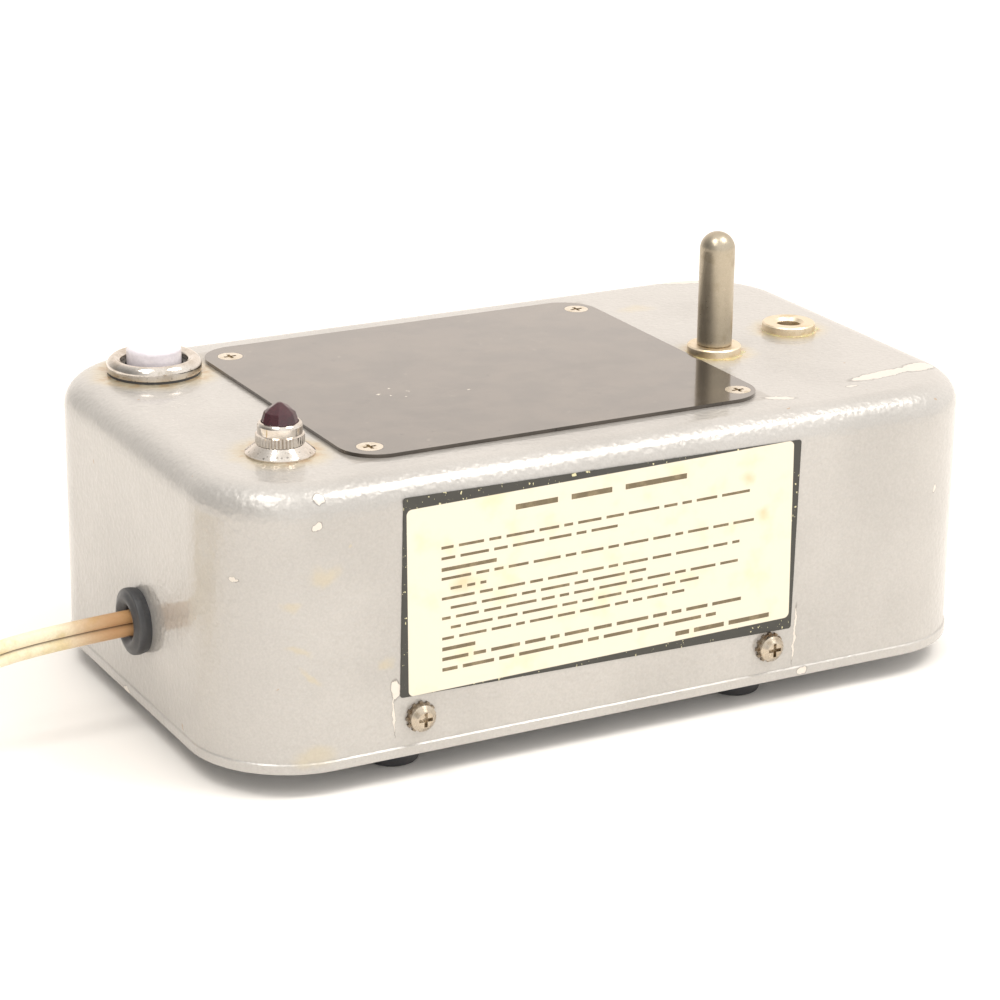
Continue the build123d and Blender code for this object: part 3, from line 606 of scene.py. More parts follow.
@dataclass(frozen=True)
class Laminations(Finish):
    """Stacked silicon-steel stampings, varnished: fine dark lines between bright edges."""

    sheet_mm: float = 0.5
    gap: str = "#1D1A17"

    def colour(self, graph: Graph) -> bpy.types.NodeSocket:
        """Gives the stack's colour, a dark line at each sheet's edge and rust in patches.

        Args:
            graph: the material being wired.

        Returns:
            The colour socket.
        """
        along = graph.add("ShaderNodeSeparateXYZ", {0: graph.where}, "Y")
        wave = graph.add("ShaderNodeMath", {0: along, 1: self.sheet_mm * MM / 2}, operation="PINGPONG")
        line = graph.add("ShaderNodeMapRange", {0: wave, 1: 0.0, 2: 0.1 * MM, 3: 0.75, 4: 0.0})
        return graph.add("ShaderNodeMix", {0: line, 6: super().colour(graph), 7: linear(self.gap)}, 2,
                         data_type="RGBA")


@dataclass(frozen=True)
class WoundWire(Finish):
    """Enamelled copper wire in close turns: a row of round ridges up the coil."""

    wire_mm: float = 0.6

    def relief(self, graph: Graph) -> bpy.types.NodeSocket:
        """Gives the round back of each turn of wire.

        Args:
            graph: the material being wired.

        Returns:
            The height socket.
        """
        height = graph.add("ShaderNodeSeparateXYZ", {0: graph.where}, "Z")
        wave = graph.add("ShaderNodeMath", {0: height, 1: self.wire_mm * MM / 2}, operation="PINGPONG")
        return graph.add("ShaderNodeMapRange", {0: wave, 1: 0.0, 2: self.wire_mm * MM / 2},
                         interpolation_type="SMOOTHSTEP")


class Stock:
    """Finishes that several sub-assemblies share, made once."""

    def __init__(self) -> None:
        """Builds the shared materials."""
        # Zinc-plated steel: cool, dull, blotchy where the plating has turned.
        self.zinc = Finish("bright_zinc_plate", "#B9BCC0", "#8F9296", metallic=1.0, roughness=0.38, patch_mm=6,
                           relief_mm=0.008).material()
        # Chromium plate on brass: crisp warm reflections, dark pits at the foot.
        self.chrome = PittedChrome("chromium_plated_brass", "#D8D0C7", "#C5BBAF", metallic=1.0, roughness=0.12,
                                   gloss_spread=0.08, grain_mm=0.3, relief_mm=0.003, patch_mm=3.5,
                                   foot=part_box("case_cover")[1].z / MM).material()
        # Moulded rubber: soft black, bloomed grey, a broad faint shine.
        self.rubber = Finish("moulded_rubber", "#3D3D3F", "#454546", roughness=0.42, gloss_spread=0.1, grain_mm=0.4,
                             patch_mm=6, relief_mm=0.006).material()
        # Rolled brass: yellow, with browner tarnish in patches.
        self.brass = Finish("rolled_brass", "#D1A95C", "#A88140", metallic=1.0, roughness=0.3, patch_mm=3,
                            relief_mm=0.006).material()
        # Paper-based phenolic sheet: brown, faint fibres along its length.
        self.phenolic_brown = Finish("paper_phenolic_board", "#6B4426", "#7E5430", roughness=0.42, grain_mm=0.5,
                                     relief_mm=0.01, stretch=(4, 1, 1)).material()


# ---------------------------------------------------------------- helpers for pieces


def middle(node: str) -> Vector:
    """Gives the middle of a CAD node's box in metres."""
    low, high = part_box(node)
    return (low + high) / 2


def dress(material: bpy.types.Material, *nodes: str) -> None:
    """Gives CAD nodes one material.

    Args:
        material: the finish.
        *nodes: names of CAD nodes.
    """
    for name in nodes:
        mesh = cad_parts[name].data
        mesh.materials.clear()
        mesh.materials.append(material)
        log.info("dressed %s in %s", name, material.name)


def new_piece(name: str, bm: bmesh.types.BMesh, material: bpy.types.Material,
              body: Body = Body.HOUSING, smooth: bool = True) -> bpy.types.Object:
    """Turns a finished bmesh into a piece that rides on a body.

    Args:
        name: the piece's name.
        bm: its mesh, in the row frame, in metres; it is freed.
        material: its finish.
        body: the body it rides on.
        smooth: whether its faces are shaded smooth.

    Returns:
        The new object.
    """
    bmesh.ops.recalc_face_normals(bm, faces=bm.faces[:])
    mesh = bpy.data.meshes.new(name)
    bm.to_mesh(mesh)
    bm.free()
    mesh.materials.append(material)
    if smooth:
        mesh.shade_smooth()
    piece = bpy.data.objects.new(name, mesh)
    bpy.context.scene.collection.objects.link(piece)
    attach(piece, body.value)
    log.info("built %s with %d faces", name, len(mesh.polygons))
    return piece


# ---------------------------------------------------------------- the studio


@dataclass
class Studio:
    """The pale floor, the soft lights and the camera."""

    camera_at: tuple[float, float, float] = (-0.31553, -0.57730, 0.26632)
    azimuth: float = -28.427
    elevation: float = 19.338
    roll: float = 0.7105
    focal_mm: float = 112.33
    sensor_mm: float = 36.0
    floor_size: float = 14.0
    sky_strength: float = 1.27
    sky_tints: tuple[str, str] = ("#FFFEFC", "#FFF6ED")
    back: tuple[float, float, float] = (0.45, 0.85, 0.25)
    dim_side: tuple[float, float, float] = (-1.0, 0.22, 0.2)
    dim_from: float = 0.3
    dim_share: float = 0.28
    box_tint: str = "#FFFCF7"
    boxes: tuple[tuple[str, tuple[float, float, float], float, float], ...] = (
        ("left_box", (-0.50, -0.22, 1.2), 0.4, 4.2), ("right_box", (0.50, -0.42, 1.1), 0.42, 5.2),
        ("small_box", (-0.62, -0.5, 0.85), 0.2, 0.9))

    def build_camera(self) -> None:
        """Makes the camera from its place, its two angles and its roll."""
        a, e, r = (math.radians(v) for v in (self.azimuth, self.elevation, self.roll))
        back = Vector((math.sin(a) * math.cos(e), -math.cos(a) * math.cos(e), math.sin(e)))
        right = Vector((math.cos(a), math.sin(a), 0))
        up = back.cross(right)
        rolled_right = right * math.cos(r) + up * math.sin(r)
        rolled_up = up * math.cos(r) - right * math.sin(r)
        turn = Matrix((rolled_right, rolled_up, back)).transposed().to_4x4()
        data = bpy.data.cameras.new("camera")
        data.lens, data.sensor_width = self.focal_mm, self.sensor_mm
        data.clip_start, data.clip_end = 0.02, 60.0
        camera = bpy.data.objects.new("camera", data)
        camera.matrix_world = Matrix.Translation(self.camera_at) @ turn
        bpy.context.scene.collection.objects.link(camera)
        bpy.context.scene.camera = camera

    def build_floor(self) -> None:
        """Makes the white paper floor."""
        bm = bmesh.new()
        bmesh.ops.create_grid(bm, x_segments=4, y_segments=4, size=self.floor_size / 2)
        mesh = bpy.data.meshes.new("floor")
        bm.to_mesh(mesh)
        bm.free()
        # Matt background paper: almost white, a faint tooth that only the soft shadows show.
        graph = Graph("white_background_paper")
        tooth = graph.add("ShaderNodeBump", {"Height": graph.clouds(0.8), "Distance": 0.01 * MM})
        tone = graph.add("ShaderNodeMix", {0: graph.clouds(400, detail=1.0), 6: linear("#FFFBF6"),
                                           7: linear("#FDF9F4")}, 2, data_type="RGBA")
        paper = graph.add("ShaderNodeBsdfPrincipled", {"Base Color": tone, "Roughness": 0.85, "Normal": tooth,
                                                       "Specular IOR Level": 0.2})
        graph.add("ShaderNodeOutputMaterial", {"Surface": paper})
        mesh.materials.append(graph.material)
        floor = bpy.data.objects.new("floor", mesh)
        bpy.context.scene.collection.objects.link(floor)

    def build_sky(self) -> None:
        """Makes the white surroundings: warmer at the back, dimmer low at the back on the left."""
        world = bpy.data.worlds.new("white_room")
        bpy.context.scene.world = world
        world.use_nodes = True
        tree = world.node_tree
        tree.nodes.clear()
        where = tree.nodes.new("ShaderNodeTexCoord")
        shares = []
        for side, low, high, start, end in ((self.dim_side, self.dim_from, 0.92, self.sky_strength,
                                             self.sky_strength * self.dim_share), (self.back, 0.2, 0.95, 0.0, 1.0)):
            dot = tree.nodes.new("ShaderNodeVectorMath")
            dot.operation = "DOT_PRODUCT"
            dot.inputs[1].default_value = Vector(side).normalized()
            tree.links.new(where.outputs["Generated"], dot.inputs[0])
            share = tree.nodes.new("ShaderNodeMapRange")
            for key, value in enumerate((low, high, start, end), 1):
                share.inputs[key].default_value = value
            tree.links.new(dot.outputs["Value"], share.inputs[0])
            shares.append(share.outputs[0])
        tint = tree.nodes.new("ShaderNodeMix")
        tint.data_type = "RGBA"
        tint.inputs[6].default_value, tint.inputs[7].default_value = (linear(c) for c in self.sky_tints)
        tree.links.new(shares[1], tint.inputs[0])
        sky = tree.nodes.new("ShaderNodeBackground")
        tree.links.new(tint.outputs[2], sky.inputs[0])
        tree.links.new(shares[0], sky.inputs[1])
        out = tree.nodes.new("ShaderNodeOutputWorld")
        tree.links.new(sky.outputs[0], out.inputs[0])

    def build_light(self, name: str, place: Sequence[float], size: float, power: float, tint: str) -> None:
        """Makes one soft light that looks at the eraser.

        Args:
            name: the light's name.
            place: where it hangs, in metres.
            size: the side of its square.
            power: its power in watts.
            tint: its colour.
        """
        data = bpy.data.lights.new(name, "AREA")
        data.shape, data.size, data.energy = "SQUARE", size, power
        data.color = linear(tint)[:3]
        light = bpy.data.objects.new(name, data)
        aim = Vector((0, 0, 0.05)) - Vector(place)
        light.matrix_world = Matrix.Translation(place) @ aim.to_track_quat("-Z", "Y").to_matrix().to_4x4()
        bpy.context.scene.collection.objects.link(light)

    def build(self) -> None:
        """Makes the whole studio apart from the camera."""
        self.build_floor()
        self.build_sky()
        for name, place, size, power in self.boxes:
            self.build_light(name, place, size, power, self.box_tint)
        bpy.context.scene.view_settings.view_transform = "Standard"


# ---------------------------------------------------------------- the supply lead


@dataclass
class SupplyLead:
    """The flat two-core lead: out of the grommet, along the bench and into a storage coil."""

    stock: Stock
    width: float = 5.75
    thickness: float = 2.9
    web_half: float = 0.35
    stated_length: float = 1.5
    first_run: tuple[tuple[float, float, float], ...] = (
        (-72, -5.3, 24.7), (-106, -5.3, 24.7), (-134, -5.3, 21.3), (-160, -5.3, 2.9), (-182.4, -5.3, 2.9))
    coil_middle: tuple[float, float] = (-198.0, 33.7)
    coil_radii: tuple[float, float] = (39.0, 27.0)
    layer_heights: tuple[float, float] = (2.9, 8.9)
    turns_per_layer: int = 3
    points_per_turn: int = 14
    tail_run: tuple[tuple[float, float, float], ...] = ((-212.5, -5.3, 8.9), (-229, -6.8, 8.9), (-245, -10.8, 8.1))

    def route(self) -> list[tuple[float, float, float]]:
        """Gives the lead's control points.

        Returns:
            Points in millimetres, from inside the case to the plug.
        """
        points = list(self.first_run)
        (outer, inner), count = self.coil_radii, self.turns_per_layer * self.points_per_turn
        spread = 1 / math.cos(math.pi / self.points_per_turn)
        for layer, height in enumerate(self.layer_heights):
            start, end = (outer, inner) if layer == 0 else (inner, outer)
            for step in range(count + (1 if layer else 0)):
                if layer == 0 and step == 0:
                    points.append((self.coil_middle[0], self.coil_middle[1] - outer, height))
                    continue
                turn = -math.pi / 2 - 2 * math.pi * step / self.points_per_turn
                radius = (start + (end - start) * step / count) * spread
                points.append((self.coil_middle[0] + radius * math.cos(turn),
                               self.coil_middle[1] + radius * math.sin(turn), height))
        return points + list(self.tail_run)

    def centreline(self) -> list[Vector]:
        """Gives points along the lead's own smooth spline.

        Returns:
            Points in metres.
        """
        data = bpy.data.curves.new("lead_route", "CURVE")
        data.dimensions, data.resolution_u = "3D", 7
        spline = data.splines.new("NURBS")
        route = self.route()
        spline.points.add(len(route) - 1)
        for point, place in zip(spline.points, route):
            point.co = (*(c * MM for c in place), 1.0)
        spline.order_u = 3
        spline.use_endpoint_u = True
        holder = bpy.data.objects.new("lead_route", data)
        sampled = bpy.data.meshes.new_from_object(holder)
        line = [v.co.copy() for v in sampled.vertices]
        bpy.data.objects.remove(holder)
        bpy.data.curves.remove(data)
        bpy.data.meshes.remove(sampled)
        return line

    def section(self) -> list[Vector]:
        """Gives the outline of the two cores and the web between them, long side upright."""
        r, c = self.thickness / 2, (self.width - self.thickness) / 2
        angles = [math.radians(-48 + 276 * k / 14) for k in range(15)]
        upper = [Vector((r * math.cos(a), c + r * math.sin(a), 0)) for a in angles]
        lower = [Vector((-v.x, -v.y, 0)) for v in upper]
        groove = Vector((self.web_half, 0, 0))
        return [v * MM for v in (*upper, -groove, *lower, groove)]

    def build(self) -> bpy.types.Object:
        """Returns:
            The lead.
        """
        line = self.centreline()
        places = []
        for i, point in enumerate(line):
            ahead = (line[min(i + 1, len(line) - 1)] - line[max(i - 1, 0)]).normalized()
            side = ahead.cross(Vector((0, 0, 1))).normalized()
            turn = Matrix((side, side.cross(ahead), ahead)).transposed().to_4x4()
            places.append(Matrix.Translation(point) @ turn)
        bm = bmesh.new()
        # The groove mask marks the web between the cores, where painted shade darkens the vinyl.
        groove_shade_mask = bm.verts.layers.float.new("groove")
        ring = [bm.verts.new(places[0] @ v) for v in self.section()]
        for vert, point in zip(ring, self.section()):
            vert[groove_shade_mask] = 1.0 if abs(point.y) < 0.1 * MM else 0.0
        bm.faces.new(ring)
        edges = bm.edges[:]
        for before, after in zip(places, places[1:]):
            made = bmesh.ops.extrude_edge_only(bm, edges=edges)["geom"]
            verts = [g for g in made if isinstance(g, bmesh.types.BMVert)]
            edges = [g for g in made if isinstance(g, bmesh.types.BMEdge)]
            bmesh.ops.transform(bm, matrix=after @ before.inverted(), verts=verts)
        bmesh.ops.holes_fill(bm, edges=edges, sides=0)
        exit_point = (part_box("cord_grommet")[0].x, *middle("cord_grommet").yz)
        # Soft vinyl, extruded over two cores, once ivory: silky cream, browned by hands at the case.
        vinyl = LeadVinyl("aged_ivory_vinyl", "#EDE0C2", "#E2D0A4", roughness=0.34, gloss_spread=0.08, grain_mm=0.5,
                          patch_mm=5.0, patch_share=0.3, relief_mm=0.006, exit=exit_point).material()
        lead = new_piece("supply_lead", bm, vinyl)
        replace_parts(lead, "power_cord", "cord_coil", "cord_tail")
        # Vinyl moulded round the plug: ivory, slightly rough, soft edges of light.
        moulded = Finish("moulded_ivory_plug", "#D9C7A4", "#CBB286", roughness=0.42, grain_mm=0.9, patch_mm=8,
                         relief_mm=0.02, subsurface=0.1).material()
        dress(moulded, "plug_body")
        dress(self.stock.brass, "plug_blades")
        dress(self.stock.rubber, "cord_grommet")
        return lead


# ---------------------------------------------------------------- the label


@dataclass
class InstructionLabel:
    """The label's printing, as plain bars where the lines of words are."""

    stock: Stock
    tilt: float = -0.85
    half_width: float = 47.2
    half_height: float = 21.45
    ink_mm: float = 0.02
    lines: tuple[tuple[float, float, float, float, float], ...] = (
        (26.0, 35.8, 4.8, 1.15, 9.8), (39.0, 48.6, 4.8, 1.15, 9.6), (51.8, 66.6, 4.8, 1.15, 14.8),
        (9.0, 83.0, 10.7, 0.6, 4.6), (9.0, 51.0, 13.0, 0.6, 5.2), (9.0, 22.0, 15.4, 0.8, 12.6),
        (9.0, 83.5, 17.4, 0.6, 4.2), (11.0, 19.2, 19.7, 0.6, 3.7), (9.0, 80.0, 21.7, 0.6, 5.0),
        (11.0, 57.0, 23.9, 0.6, 5.4), (9.0, 81.0, 26.0, 0.6, 4.4), (11.0, 70.0, 28.2, 0.6, 5.1),
        (9.0, 66.5, 30.4, 0.6, 4.5), (9.0, 17.0, 32.7, 0.8, 7.6), (9.0, 81.5, 34.9, 0.75, 4.8),
        (9.0, 74.5, 37.2, 0.75, 5.8), (64.5, 89.0, 40.0, 1.0, 6.8))
    word_shares: tuple[float, ...] = (0.5, 1.1, 1.5, 0.6, 1.25, 0.6, 1.4, 1.0, 0.45, 1.2, 0.9, 1.6, 0.7)
    gap: float = 1.2

    def bars(self) -> Iterable[tuple[float, float, float, float]]:
        """Gives each bar of ink.

        Yields:
            Left end, right end, place below the top edge and height, in millimetres.
        """
        turn = 0
        for left, right, down, tall, usual in self.lines:
            at = left
            while right - at > 0.6:
                length = usual if right - left < usual * 1.6 else usual * self.word_shares[turn % len(self.word_shares)]
                end = min(right, at + length)
                yield at, end, down, tall
                at, turn = end + self.gap, turn + 1

    def build(self) -> bpy.types.Object:
        """Lays the bars on the label's face.

        Returns:
            The printing.
        """
        low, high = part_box("label_plate")
        place = (Matrix.Translation(((low.x + high.x) / 2, low.y - self.ink_mm * MM / 2, (low.z + high.z) / 2))
                 @ Euler((0, math.radians(self.tilt), 0)).to_matrix().to_4x4())
        bm = bmesh.new()
        for left, right, down, tall in self.bars():
            centre = Vector(((left + right) / 2 - self.half_width, 0, self.half_height - down)) * MM
            size = Matrix.Diagonal(((right - left) * MM, self.ink_mm * MM, tall * MM, 1))
            bmesh.ops.create_cube(bm, size=1, matrix=place @ Matrix.Translation(centre) @ size)
        # Foil screen-printed and varnished: cream, browning in patches, dark border chipped at its edges.
        foil = PrintedFoil("screen_printed_label_foil", "#E2DAC6", "#DFD2AE", roughness=0.42, grain_mm=0.5,
                           relief_mm=0.006, coat=0.25, coat_roughness=0.2, centre=tuple((low + high) / 2),
                           tilt=math.radians(self.tilt), half=(self.half_width, self.half_height)).material()
        # Brown-black printing ink, screened thin: matt, the ground showing through at its edges.
        ink = Finish("screened_printing_ink", "#6E6149", "#84765A", roughness=0.6, grain_mm=0.3,
                     patch_mm=2.0).material()
        dress(foil, "label_plate")
        return new_piece("label_printing", bm, ink, smooth=False)


# ---------------------------------------------------------------- case, plate, sockets, switch, lamp


@dataclass
class Case:
    """The drawn cover, the tray under it, the feet and the screws that hold them."""

    stock: Stock
    tones: tuple[str, str] = ("#B8B4AF", "#AFABA6")
    ring_reach: tuple[float, float, float, float] = (4.2, 3.5, 2.9, 2.2)
    chips: tuple[Spot, ...] = (
        ((-56.0, -54.4, 20.5), (0, 2, 0), (1.0, 3.0, 2.1)),
        ((-56.3, -54.4, 15.0), (0, -4, 0), (0.25, 3.0, 4.2)),
        ((40.6, -54.4, 15.5), (0, 3, 0), (0.3, 3.0, 6.2)),
        ((42.9, -54.4, 6.6), (0, 0, 0), (1.2, 3.0, 0.8)),
        ((76.6, -52.0, 43.0), (0, 15, 0), (0.4, 3.0, 1.0)),
        ((-71.9, -52.5, 63.2), (0, 25, 0), (1.1, 1.6, 0.9)),
        ((-73.0, -54.0, 58.2), (0, -30, 0), (1.0, 1.6, 0.6)),
        ((-87.3, -45.1, 46.6), (0, -35, 45), (0.9, 1.0, 0.35)),
        ((-91.5, 2.9, 5.9), (0, 0, 0), (3.0, 1.6, 0.8)),
        ((72.0, -37.5, 65.5), (0, 0, 8), (8.5, 1.9, 1.6)),
        ((82.5, -36.4, 65.5), (0, 0, 10), (4.2, 2.6, 1.6)),
        ((42.2, -42.4, 65.5), (0, 0, -25), (3.2, 1.1, 1.6)),
        ((61.1, -41.9, 65.5), (0, 0, 0), (1.4, 0.5, 1.6)),
        ((74.0, 46.6, 65.5), (0, 0, -20), (10.0, 1.4, 1.6)))
    stains: tuple[Spot, ...] = (
        ((-78.5, -53.5, 41.1), (0, 0, 0), (2.2, 5, 1.4)),
        ((-71.4, -54.2, 47.7), (0, 0, 0), (3.4, 5, 2.4)),
        ((-77.5, -53.6, 32.2), (0, 25, 0), (3.0, 5, 1.1)),
        ((-73.8, -54.0, 26.4), (0, 40, 0), (4.0, 5, 0.9)),
        ((-58.3, -54.2, 26.3), (0, 0, 0), (2.4, 5, 1.6)),
        ((-66.8, -54.4, 53.3), (0, 0, 0), (0.4, 3, 0.5)),
        ((49.7, 31.7, 65.5), (0, 0, 0), (5.5, 3.6, 3)),
        ((-74.0, -54.0, 9.0), (0, 0, 0), (6.0, 5, 3.0)))

    def enamel(self) -> bpy.types.Material:
        """Makes the cover's enamel, stained round the fittings where they now stand.

        Returns:
            The material.
        """
        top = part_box("case_cover")[1].z / MM
        fittings = ("switch_bezel", "pilot_bezel", "spindle_socket_inner", "spindle_socket_outer")
        rings = []
        for node, reach in zip(fittings, self.ring_reach):
            low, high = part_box(node)
            radius = (high.x - low.x) / 2 / MM - 0.1
            centre = middle(node) / MM
            rings.append(((centre.x, centre.y, top), radius, radius + reach))
        low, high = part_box("pole_plate")
        half = (high - low) / 2
        # Hammer-finish enamel sprayed and stoved on drawn steel: warm silver flake under gloss.
        return HammerPaint("stoved_hammertone_enamel", *self.tones, metallic=0.32, roughness=0.36,
                           gloss_spread=0.06, relief_mm=0.085, coat=0.7, coat_roughness=0.08, chips=self.chips,
                           stains=self.stains, rings=tuple(rings),
                           plate=(tuple(middle("pole_plate")), (half.x, half.y, 1.0))).material()

    def build(self) -> None:
        """Dresses the case."""
        dress(self.enamel(), "case_cover")
        dress(self.stock.zinc, "base_tray", "foot_screws", "foot_nuts")
        dress(self.stock.rubber, "foot_front_left", "foot_front_right", "foot_rear_left", "foot_rear_right")
        # Nickel-plated steel screws: grey-brown with age, a soft shine.
        nickel = Finish("dulled_nickel_plate", "#BEB2A1", "#A2937E", metallic=1.0, roughness=0.27, grain_mm=0.35,
                        patch_mm=3.0, patch_share=0.4, relief_mm=0.004).material()
        # Spring-steel washers: darker, oily, rust starting between the teeth.
        washer = Finish("oiled_spring_steel_washer", "#8F8476", "#6F5B45", metallic=1.0, roughness=0.4, grain_mm=0.4,
                        patch_mm=2.0, relief_mm=0.01).material()
        dress(nickel, "case_screws")
        dress(washer, "case_lock_washers")


@dataclass
class PoleFace:
    """The black plate over the magnet's poles, its screws and nuts."""

    stock: Stock
    ring_centre: tuple[float, float] = (-0.2, -4.6)
    ring_radius: float = 5.4
    marks: tuple[Spot, ...] = (
        ((-35.2, -4.5, 66.3), (0, 0, 0), (0.45, 0.35, 1)),
        ((-31.2, -1.7, 66.3), (0, 0, 0), (0.3, 0.5, 1)),
        ((-30.5, -8.4, 66.3), (0, 0, 0), (0.35, 0.3, 1)),
        ((-33.2, -6.4, 66.3), (0, 0, 0), (0.3, 0.25, 1)),
        ((-28.6, -5.0, 66.3), (0, 0, 0), (0.25, 0.35, 1)),
        ((-16.2, -9.8, 66.3), (0, 0, 0), (0.3, 0.3, 1)))

    def build(self) -> None:
        """Dresses the plate and its screws."""
        ring = ((*self.ring_centre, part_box("pole_plate")[1].z / MM), self.ring_radius)
        # Black lacquer stoved on sheet steel and rubbed glossy: warm grey reflections, fine dust.
        lacquer = PoleLacquer("black_lacquered_sheet", "#2E2823", "#3A332C", roughness=0.09, gloss_spread=0.1,
                              grain_mm=0.6, relief_mm=0.003, ior=2.0, coat=0.8, coat_roughness=0.06, tint="#F4E3D4",
                              marks=self.marks, ring=ring).material()
        # Nickel-plated brass screws: pale and bright, yellowed in patches.
        nickel = Finish("aged_nickel_plate", "#E4DACA", "#CDBFA6", metallic=1.0, roughness=0.26, grain_mm=0.35,
                        patch_mm=3.0, patch_share=0.3, relief_mm=0.004).material()
        dress(lacquer, "pole_plate")
        dress(nickel, "pole_plate_screws")
        dress(self.stock.zinc, "pole_plate_nuts")


@dataclass
class ReelSockets:
    """The spindle, its two sockets and the shellac that squeezed out round them."""

    stock: Stock
    squeeze_out: float = 1.5
    height: float = 0.4
    flange_radius: float = 6.1
    corners: int = 72

    def build_residue(self, node: str, lean: float, shellac: bpy.types.Material) -> bpy.types.Object:
        """Makes the ragged skirt of shellac round one socket.

        Args:
            node: the socket's CAD node.
            lean: the direction in degrees that most of it ran to.
            shellac: its finish.

        Returns:
            The new piece.
        """
        centre, radius = middle(node), self.flange_radius * MM
        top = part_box("case_cover")[1].z
        bm = bmesh.new()
        bmesh.ops.create_circle(bm, cap_ends=False, segments=self.corners, radius=radius - 0.3 * MM,
                                matrix=Matrix.Translation((centre.x, centre.y, top + self.height * MM)))
        made = bmesh.ops.extrude_edge_only(bm, edges=bm.edges[:])["geom"]
        for vert in (g for g in made if isinstance(g, bmesh.types.BMVert)):
            out = Vector((vert.co.x - centre.x, vert.co.y - centre.y, 0)).normalized()
            turn = math.atan2(out.y, out.x)
            ragged = 0.55 + 0.25 * math.sin(5 * turn + lean) + 0.2 * math.sin(11 * turn + 2 * lean)
            ran = 0.35 + 0.65 * max(0.0, math.cos(turn - math.radians(lean)))
            vert.co = Vector((centre.x, centre.y, top + 0.01 * MM)) + out * (
                radius + self.squeeze_out * MM * ragged * ran)
        return new_piece("residue_" + node, bm, shellac)

    def build(self) -> None:
        """Makes the residue and dresses the metal."""
        # Shellac that squeezed out and hardened: amber, glassy, lumpy.
        shellac = Finish("hardened_shellac", "#BFAF80", "#AA9862", roughness=0.25, grain_mm=0.8, patch_mm=2,
                         relief_mm=0.04, coat=0.4, subsurface=0.2).material()
        self.build_residue("spindle_socket_inner", -60.0, shellac)
        self.build_residue("spindle_socket_outer", -10.0, shellac)
        # Nickel-plated steel rod, turned: greyish gold with fine wear from reel hubs.
        pin = Finish("worn_nickel_plated_steel", "#B6AB98", "#A39782", metallic=1.0, roughness=0.33, grain_mm=0.22,
                     patch_mm=5.0, patch_share=0.4, relief_mm=0.003).material()
        # Nickel-plated brass, turned and never polished: pale, matt, faintly pink.
        socket = Finish("turned_nickel_plated_brass", "#EBDCC4", "#DAC8A7", metallic=1.0, roughness=0.42,
                        grain_mm=0.25, patch_mm=3.0, relief_mm=0.004).material()
        dress(pin, "spindle_pin")
        dress(socket, "spindle_socket_inner", "spindle_socket_outer")
        dress(self.stock.zinc, "spindle_socket_nuts")


@dataclass
class PushSwitch:
    """The push button and the switch under it."""

    stock: Stock

    def build(self) -> None:
        """Dresses the switch."""
        # Urea plastic, compression moulded: cool white, smooth, a tight shine.
        white = Finish("moulded_urea_plastic", "#E3DDE2", "#DED7DD", roughness=0.25, gloss_spread=0.06, patch_mm=9,
                       relief_mm=0.003, coat=0.2).material()
        # Black phenolic, moulded: brownish black with a waxy shine.
        black = Finish("moulded_black_phenolic", "#221F1D", "#2F2B28", roughness=0.3, relief_mm=0.006).material()
        # Spring steel wire, hard drawn: grey with darker scale in patches.
        spring = Finish("drawn_spring_steel", "#A9A7A3", "#7E7B76", metallic=1.0, roughness=0.26,
                        relief_mm=0.004).material()
        dress(self.stock.chrome, "switch_bezel")
        dress(self.stock.rubber, "switch_gasket")
        dress(white, "switch_button")
        dress(black, "switch_body", "switch_plunger")
        dress(spring, "switch_spring")
        dress(self.stock.brass, "switch_contact_disc", "switch_terminals")
        dress(self.stock.zinc, "switch_nut")


@dataclass
class PilotLamp:
    """The lamp's flange, ring, faceted jewel, bulb and holder."""

    stock: Stock
    rings: tuple[tuple[float, float, int, float], ...] = (
        (0.0, 3.85, 24, 0.0), (2.05, 3.84, 12, 1.6), (4.2, 3.2, 12, 1.6), (5.4, 1.7, 6, 31.6), (6.1, 0.4, 6, 1.6))

    def build_jewel(self) -> bpy.types.Object:
        """Wraps flat facets round rings of corners.

        Returns:
            The jewel.
        """
        centre, low = middle("pilot_jewel"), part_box("pilot_jewel")[0].z
        bm = bmesh.new()
        for height, radius, corners, turn in self.rings:
            place = Matrix.Translation((centre.x, centre.y, low + height * MM)) @ Matrix.Rotation(
                math.radians(turn), 4, "Z")
            bmesh.ops.create_circle(bm, cap_ends=False, segments=corners, radius=radius * MM, matrix=place)
        bmesh.ops.delete(bm, geom=bm.edges[:], context="EDGES_FACES")
        bmesh.ops.convex_hull(bm, input=bm.verts[:])
        # Pressed ruby glass with ground facets: dark burgundy, sharp highlights.
        ruby = Finish("pressed_ruby_glass", "#551D29", "#43141B", roughness=0.04, gloss_spread=0.02, patch_mm=4,
                      relief_mm=0.001, transmission=0.5, ior=1.65).material()
        jewel = new_piece("faceted_jewel", bm, ruby, Body.LAMP_CAP, smooth=False)
        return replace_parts(jewel, "pilot_jewel")

    def build(self) -> None:
        """Makes the jewel and dresses the rest."""
        self.build_jewel()
        # Blown soda glass: thin and clear.
        glass = Finish("blown_lamp_glass", "#F4F1EA", "#EFEAE0", roughness=0.05, gloss_spread=0.02, relief_mm=0.002,
                       transmission=0.9).material()
        dress(self.stock.chrome, "pilot_bezel", "pilot_ring")
        dress(glass, "pilot_lamp_glass")
        dress(self.stock.phenolic_brown, "pilot_socket")
        dress(self.stock.brass, "pilot_terminals", "pilot_lamp_base")
        dress(self.stock.zinc, "pilot_nut")


# ---------------------------------------------------------------- magnet and wiring


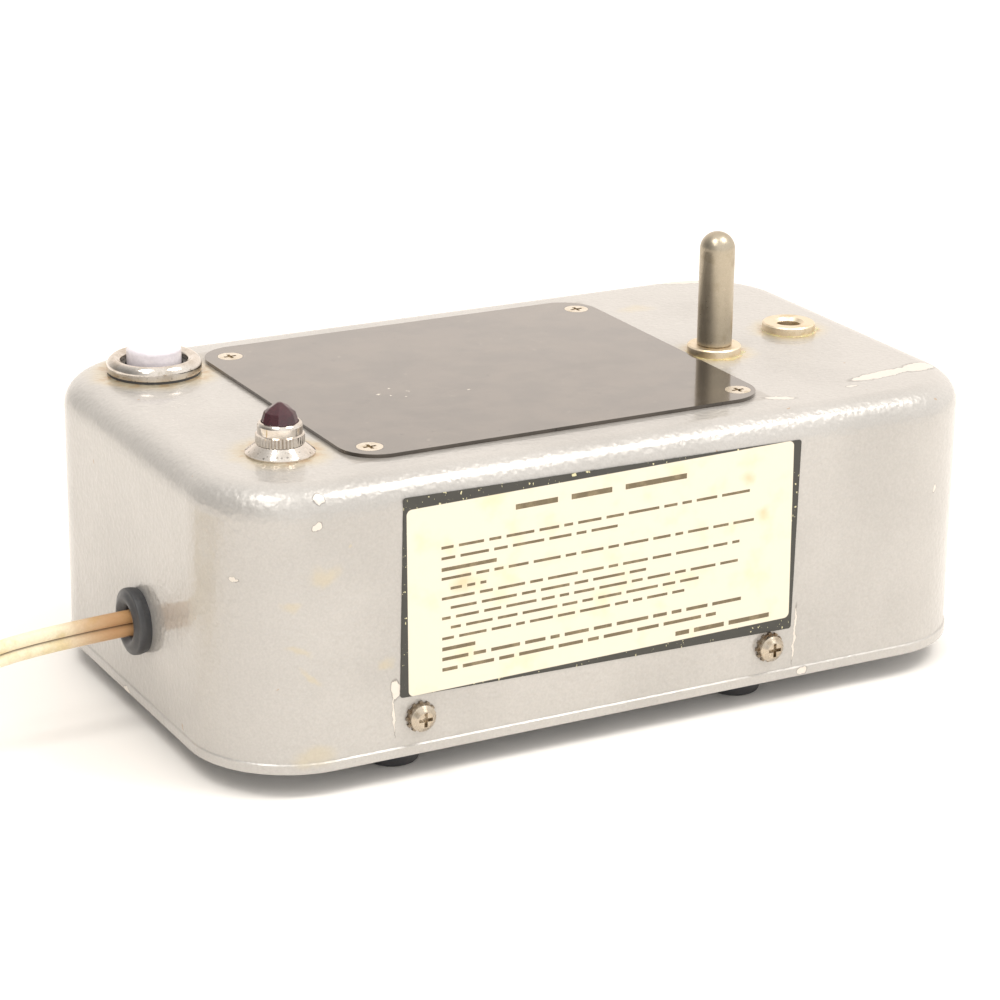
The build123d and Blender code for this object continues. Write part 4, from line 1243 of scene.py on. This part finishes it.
@dataclass
class Magnet:
    """The laminated core, its winding and the angles and bolts that hold it."""

    stock: Stock

    def build(self) -> None:
        """Dresses the magnet."""
        # Silicon-steel stampings, stacked and varnished: a fine edge grain with rust bleeding through.
        core = Laminations("varnished_steel_laminations", "#6E6A64", "#59422E", metallic=0.8, roughness=0.42,
                           relief_mm=0.01).material()
        # Enamelled copper, machine wound: red-brown ridges with a varnish shine.
        copper = WoundWire("enamelled_copper_wire", "#A6522A", "#8A3F20", metallic=0.7, roughness=0.3,
                           relief_mm=0.25, coat=0.5, stretch=(3, 3, 1)).material()
        # Moulded nylon: creamy, waxy, light sinking in a little.
        nylon = Finish("moulded_nylon", "#E8E0CC", "#DAD0B6", roughness=0.45, subsurface=0.2,
                       relief_mm=0.01).material()
        # Cotton tape soaked in varnish: amber weave, dull.
        tape = Finish("varnished_cotton_tape", "#C9A25A", "#A87F3C", roughness=0.62, grain_mm=0.5, relief_mm=0.06,
                      stretch=(1, 1, 2)).material()
        dress(core, "core_laminations")
        dress(copper, "coil_winding")
        dress(nylon, "coil_bobbin")
        dress(tape, "coil_wrap")
        dress(self.stock.zinc, "core_bracket_front", "core_bracket_rear", "core_bolts", "core_bolt_nuts",
              "bracket_screws", "bracket_nuts")


@dataclass
class Wiring:
    """The tag strip and the hook-up wires."""

    stock: Stock

    def build(self) -> None:
        """Dresses the wiring."""
        # Extruded vinyl on hook-up wire: dull red, smooth.
        red = Finish("hook_up_wire_vinyl", "#A8342A", "#8E2A22", roughness=0.4, relief_mm=0.006).material()
        dress(red, "hookup_wires", "coil_leads")
        dress(self.stock.phenolic_brown, "tag_board")
        dress(self.stock.brass, "tag_lugs")
        dress(self.stock.zinc, "tag_foot", "tag_screw")


def main() -> None:
    """Builds everything in order: camera, cord, then the rest."""
    logging.basicConfig(level=logging.INFO)
    studio = Studio()
    studio.build_camera()
    stock = Stock()
    SupplyLead(stock).build()
    studio.build()
    for assembly in (Case, PoleFace, ReelSockets, PushSwitch, PilotLamp, Magnet, Wiring, InstructionLabel):
        assembly(stock).build()


if __name__ == "__main__":
    main()
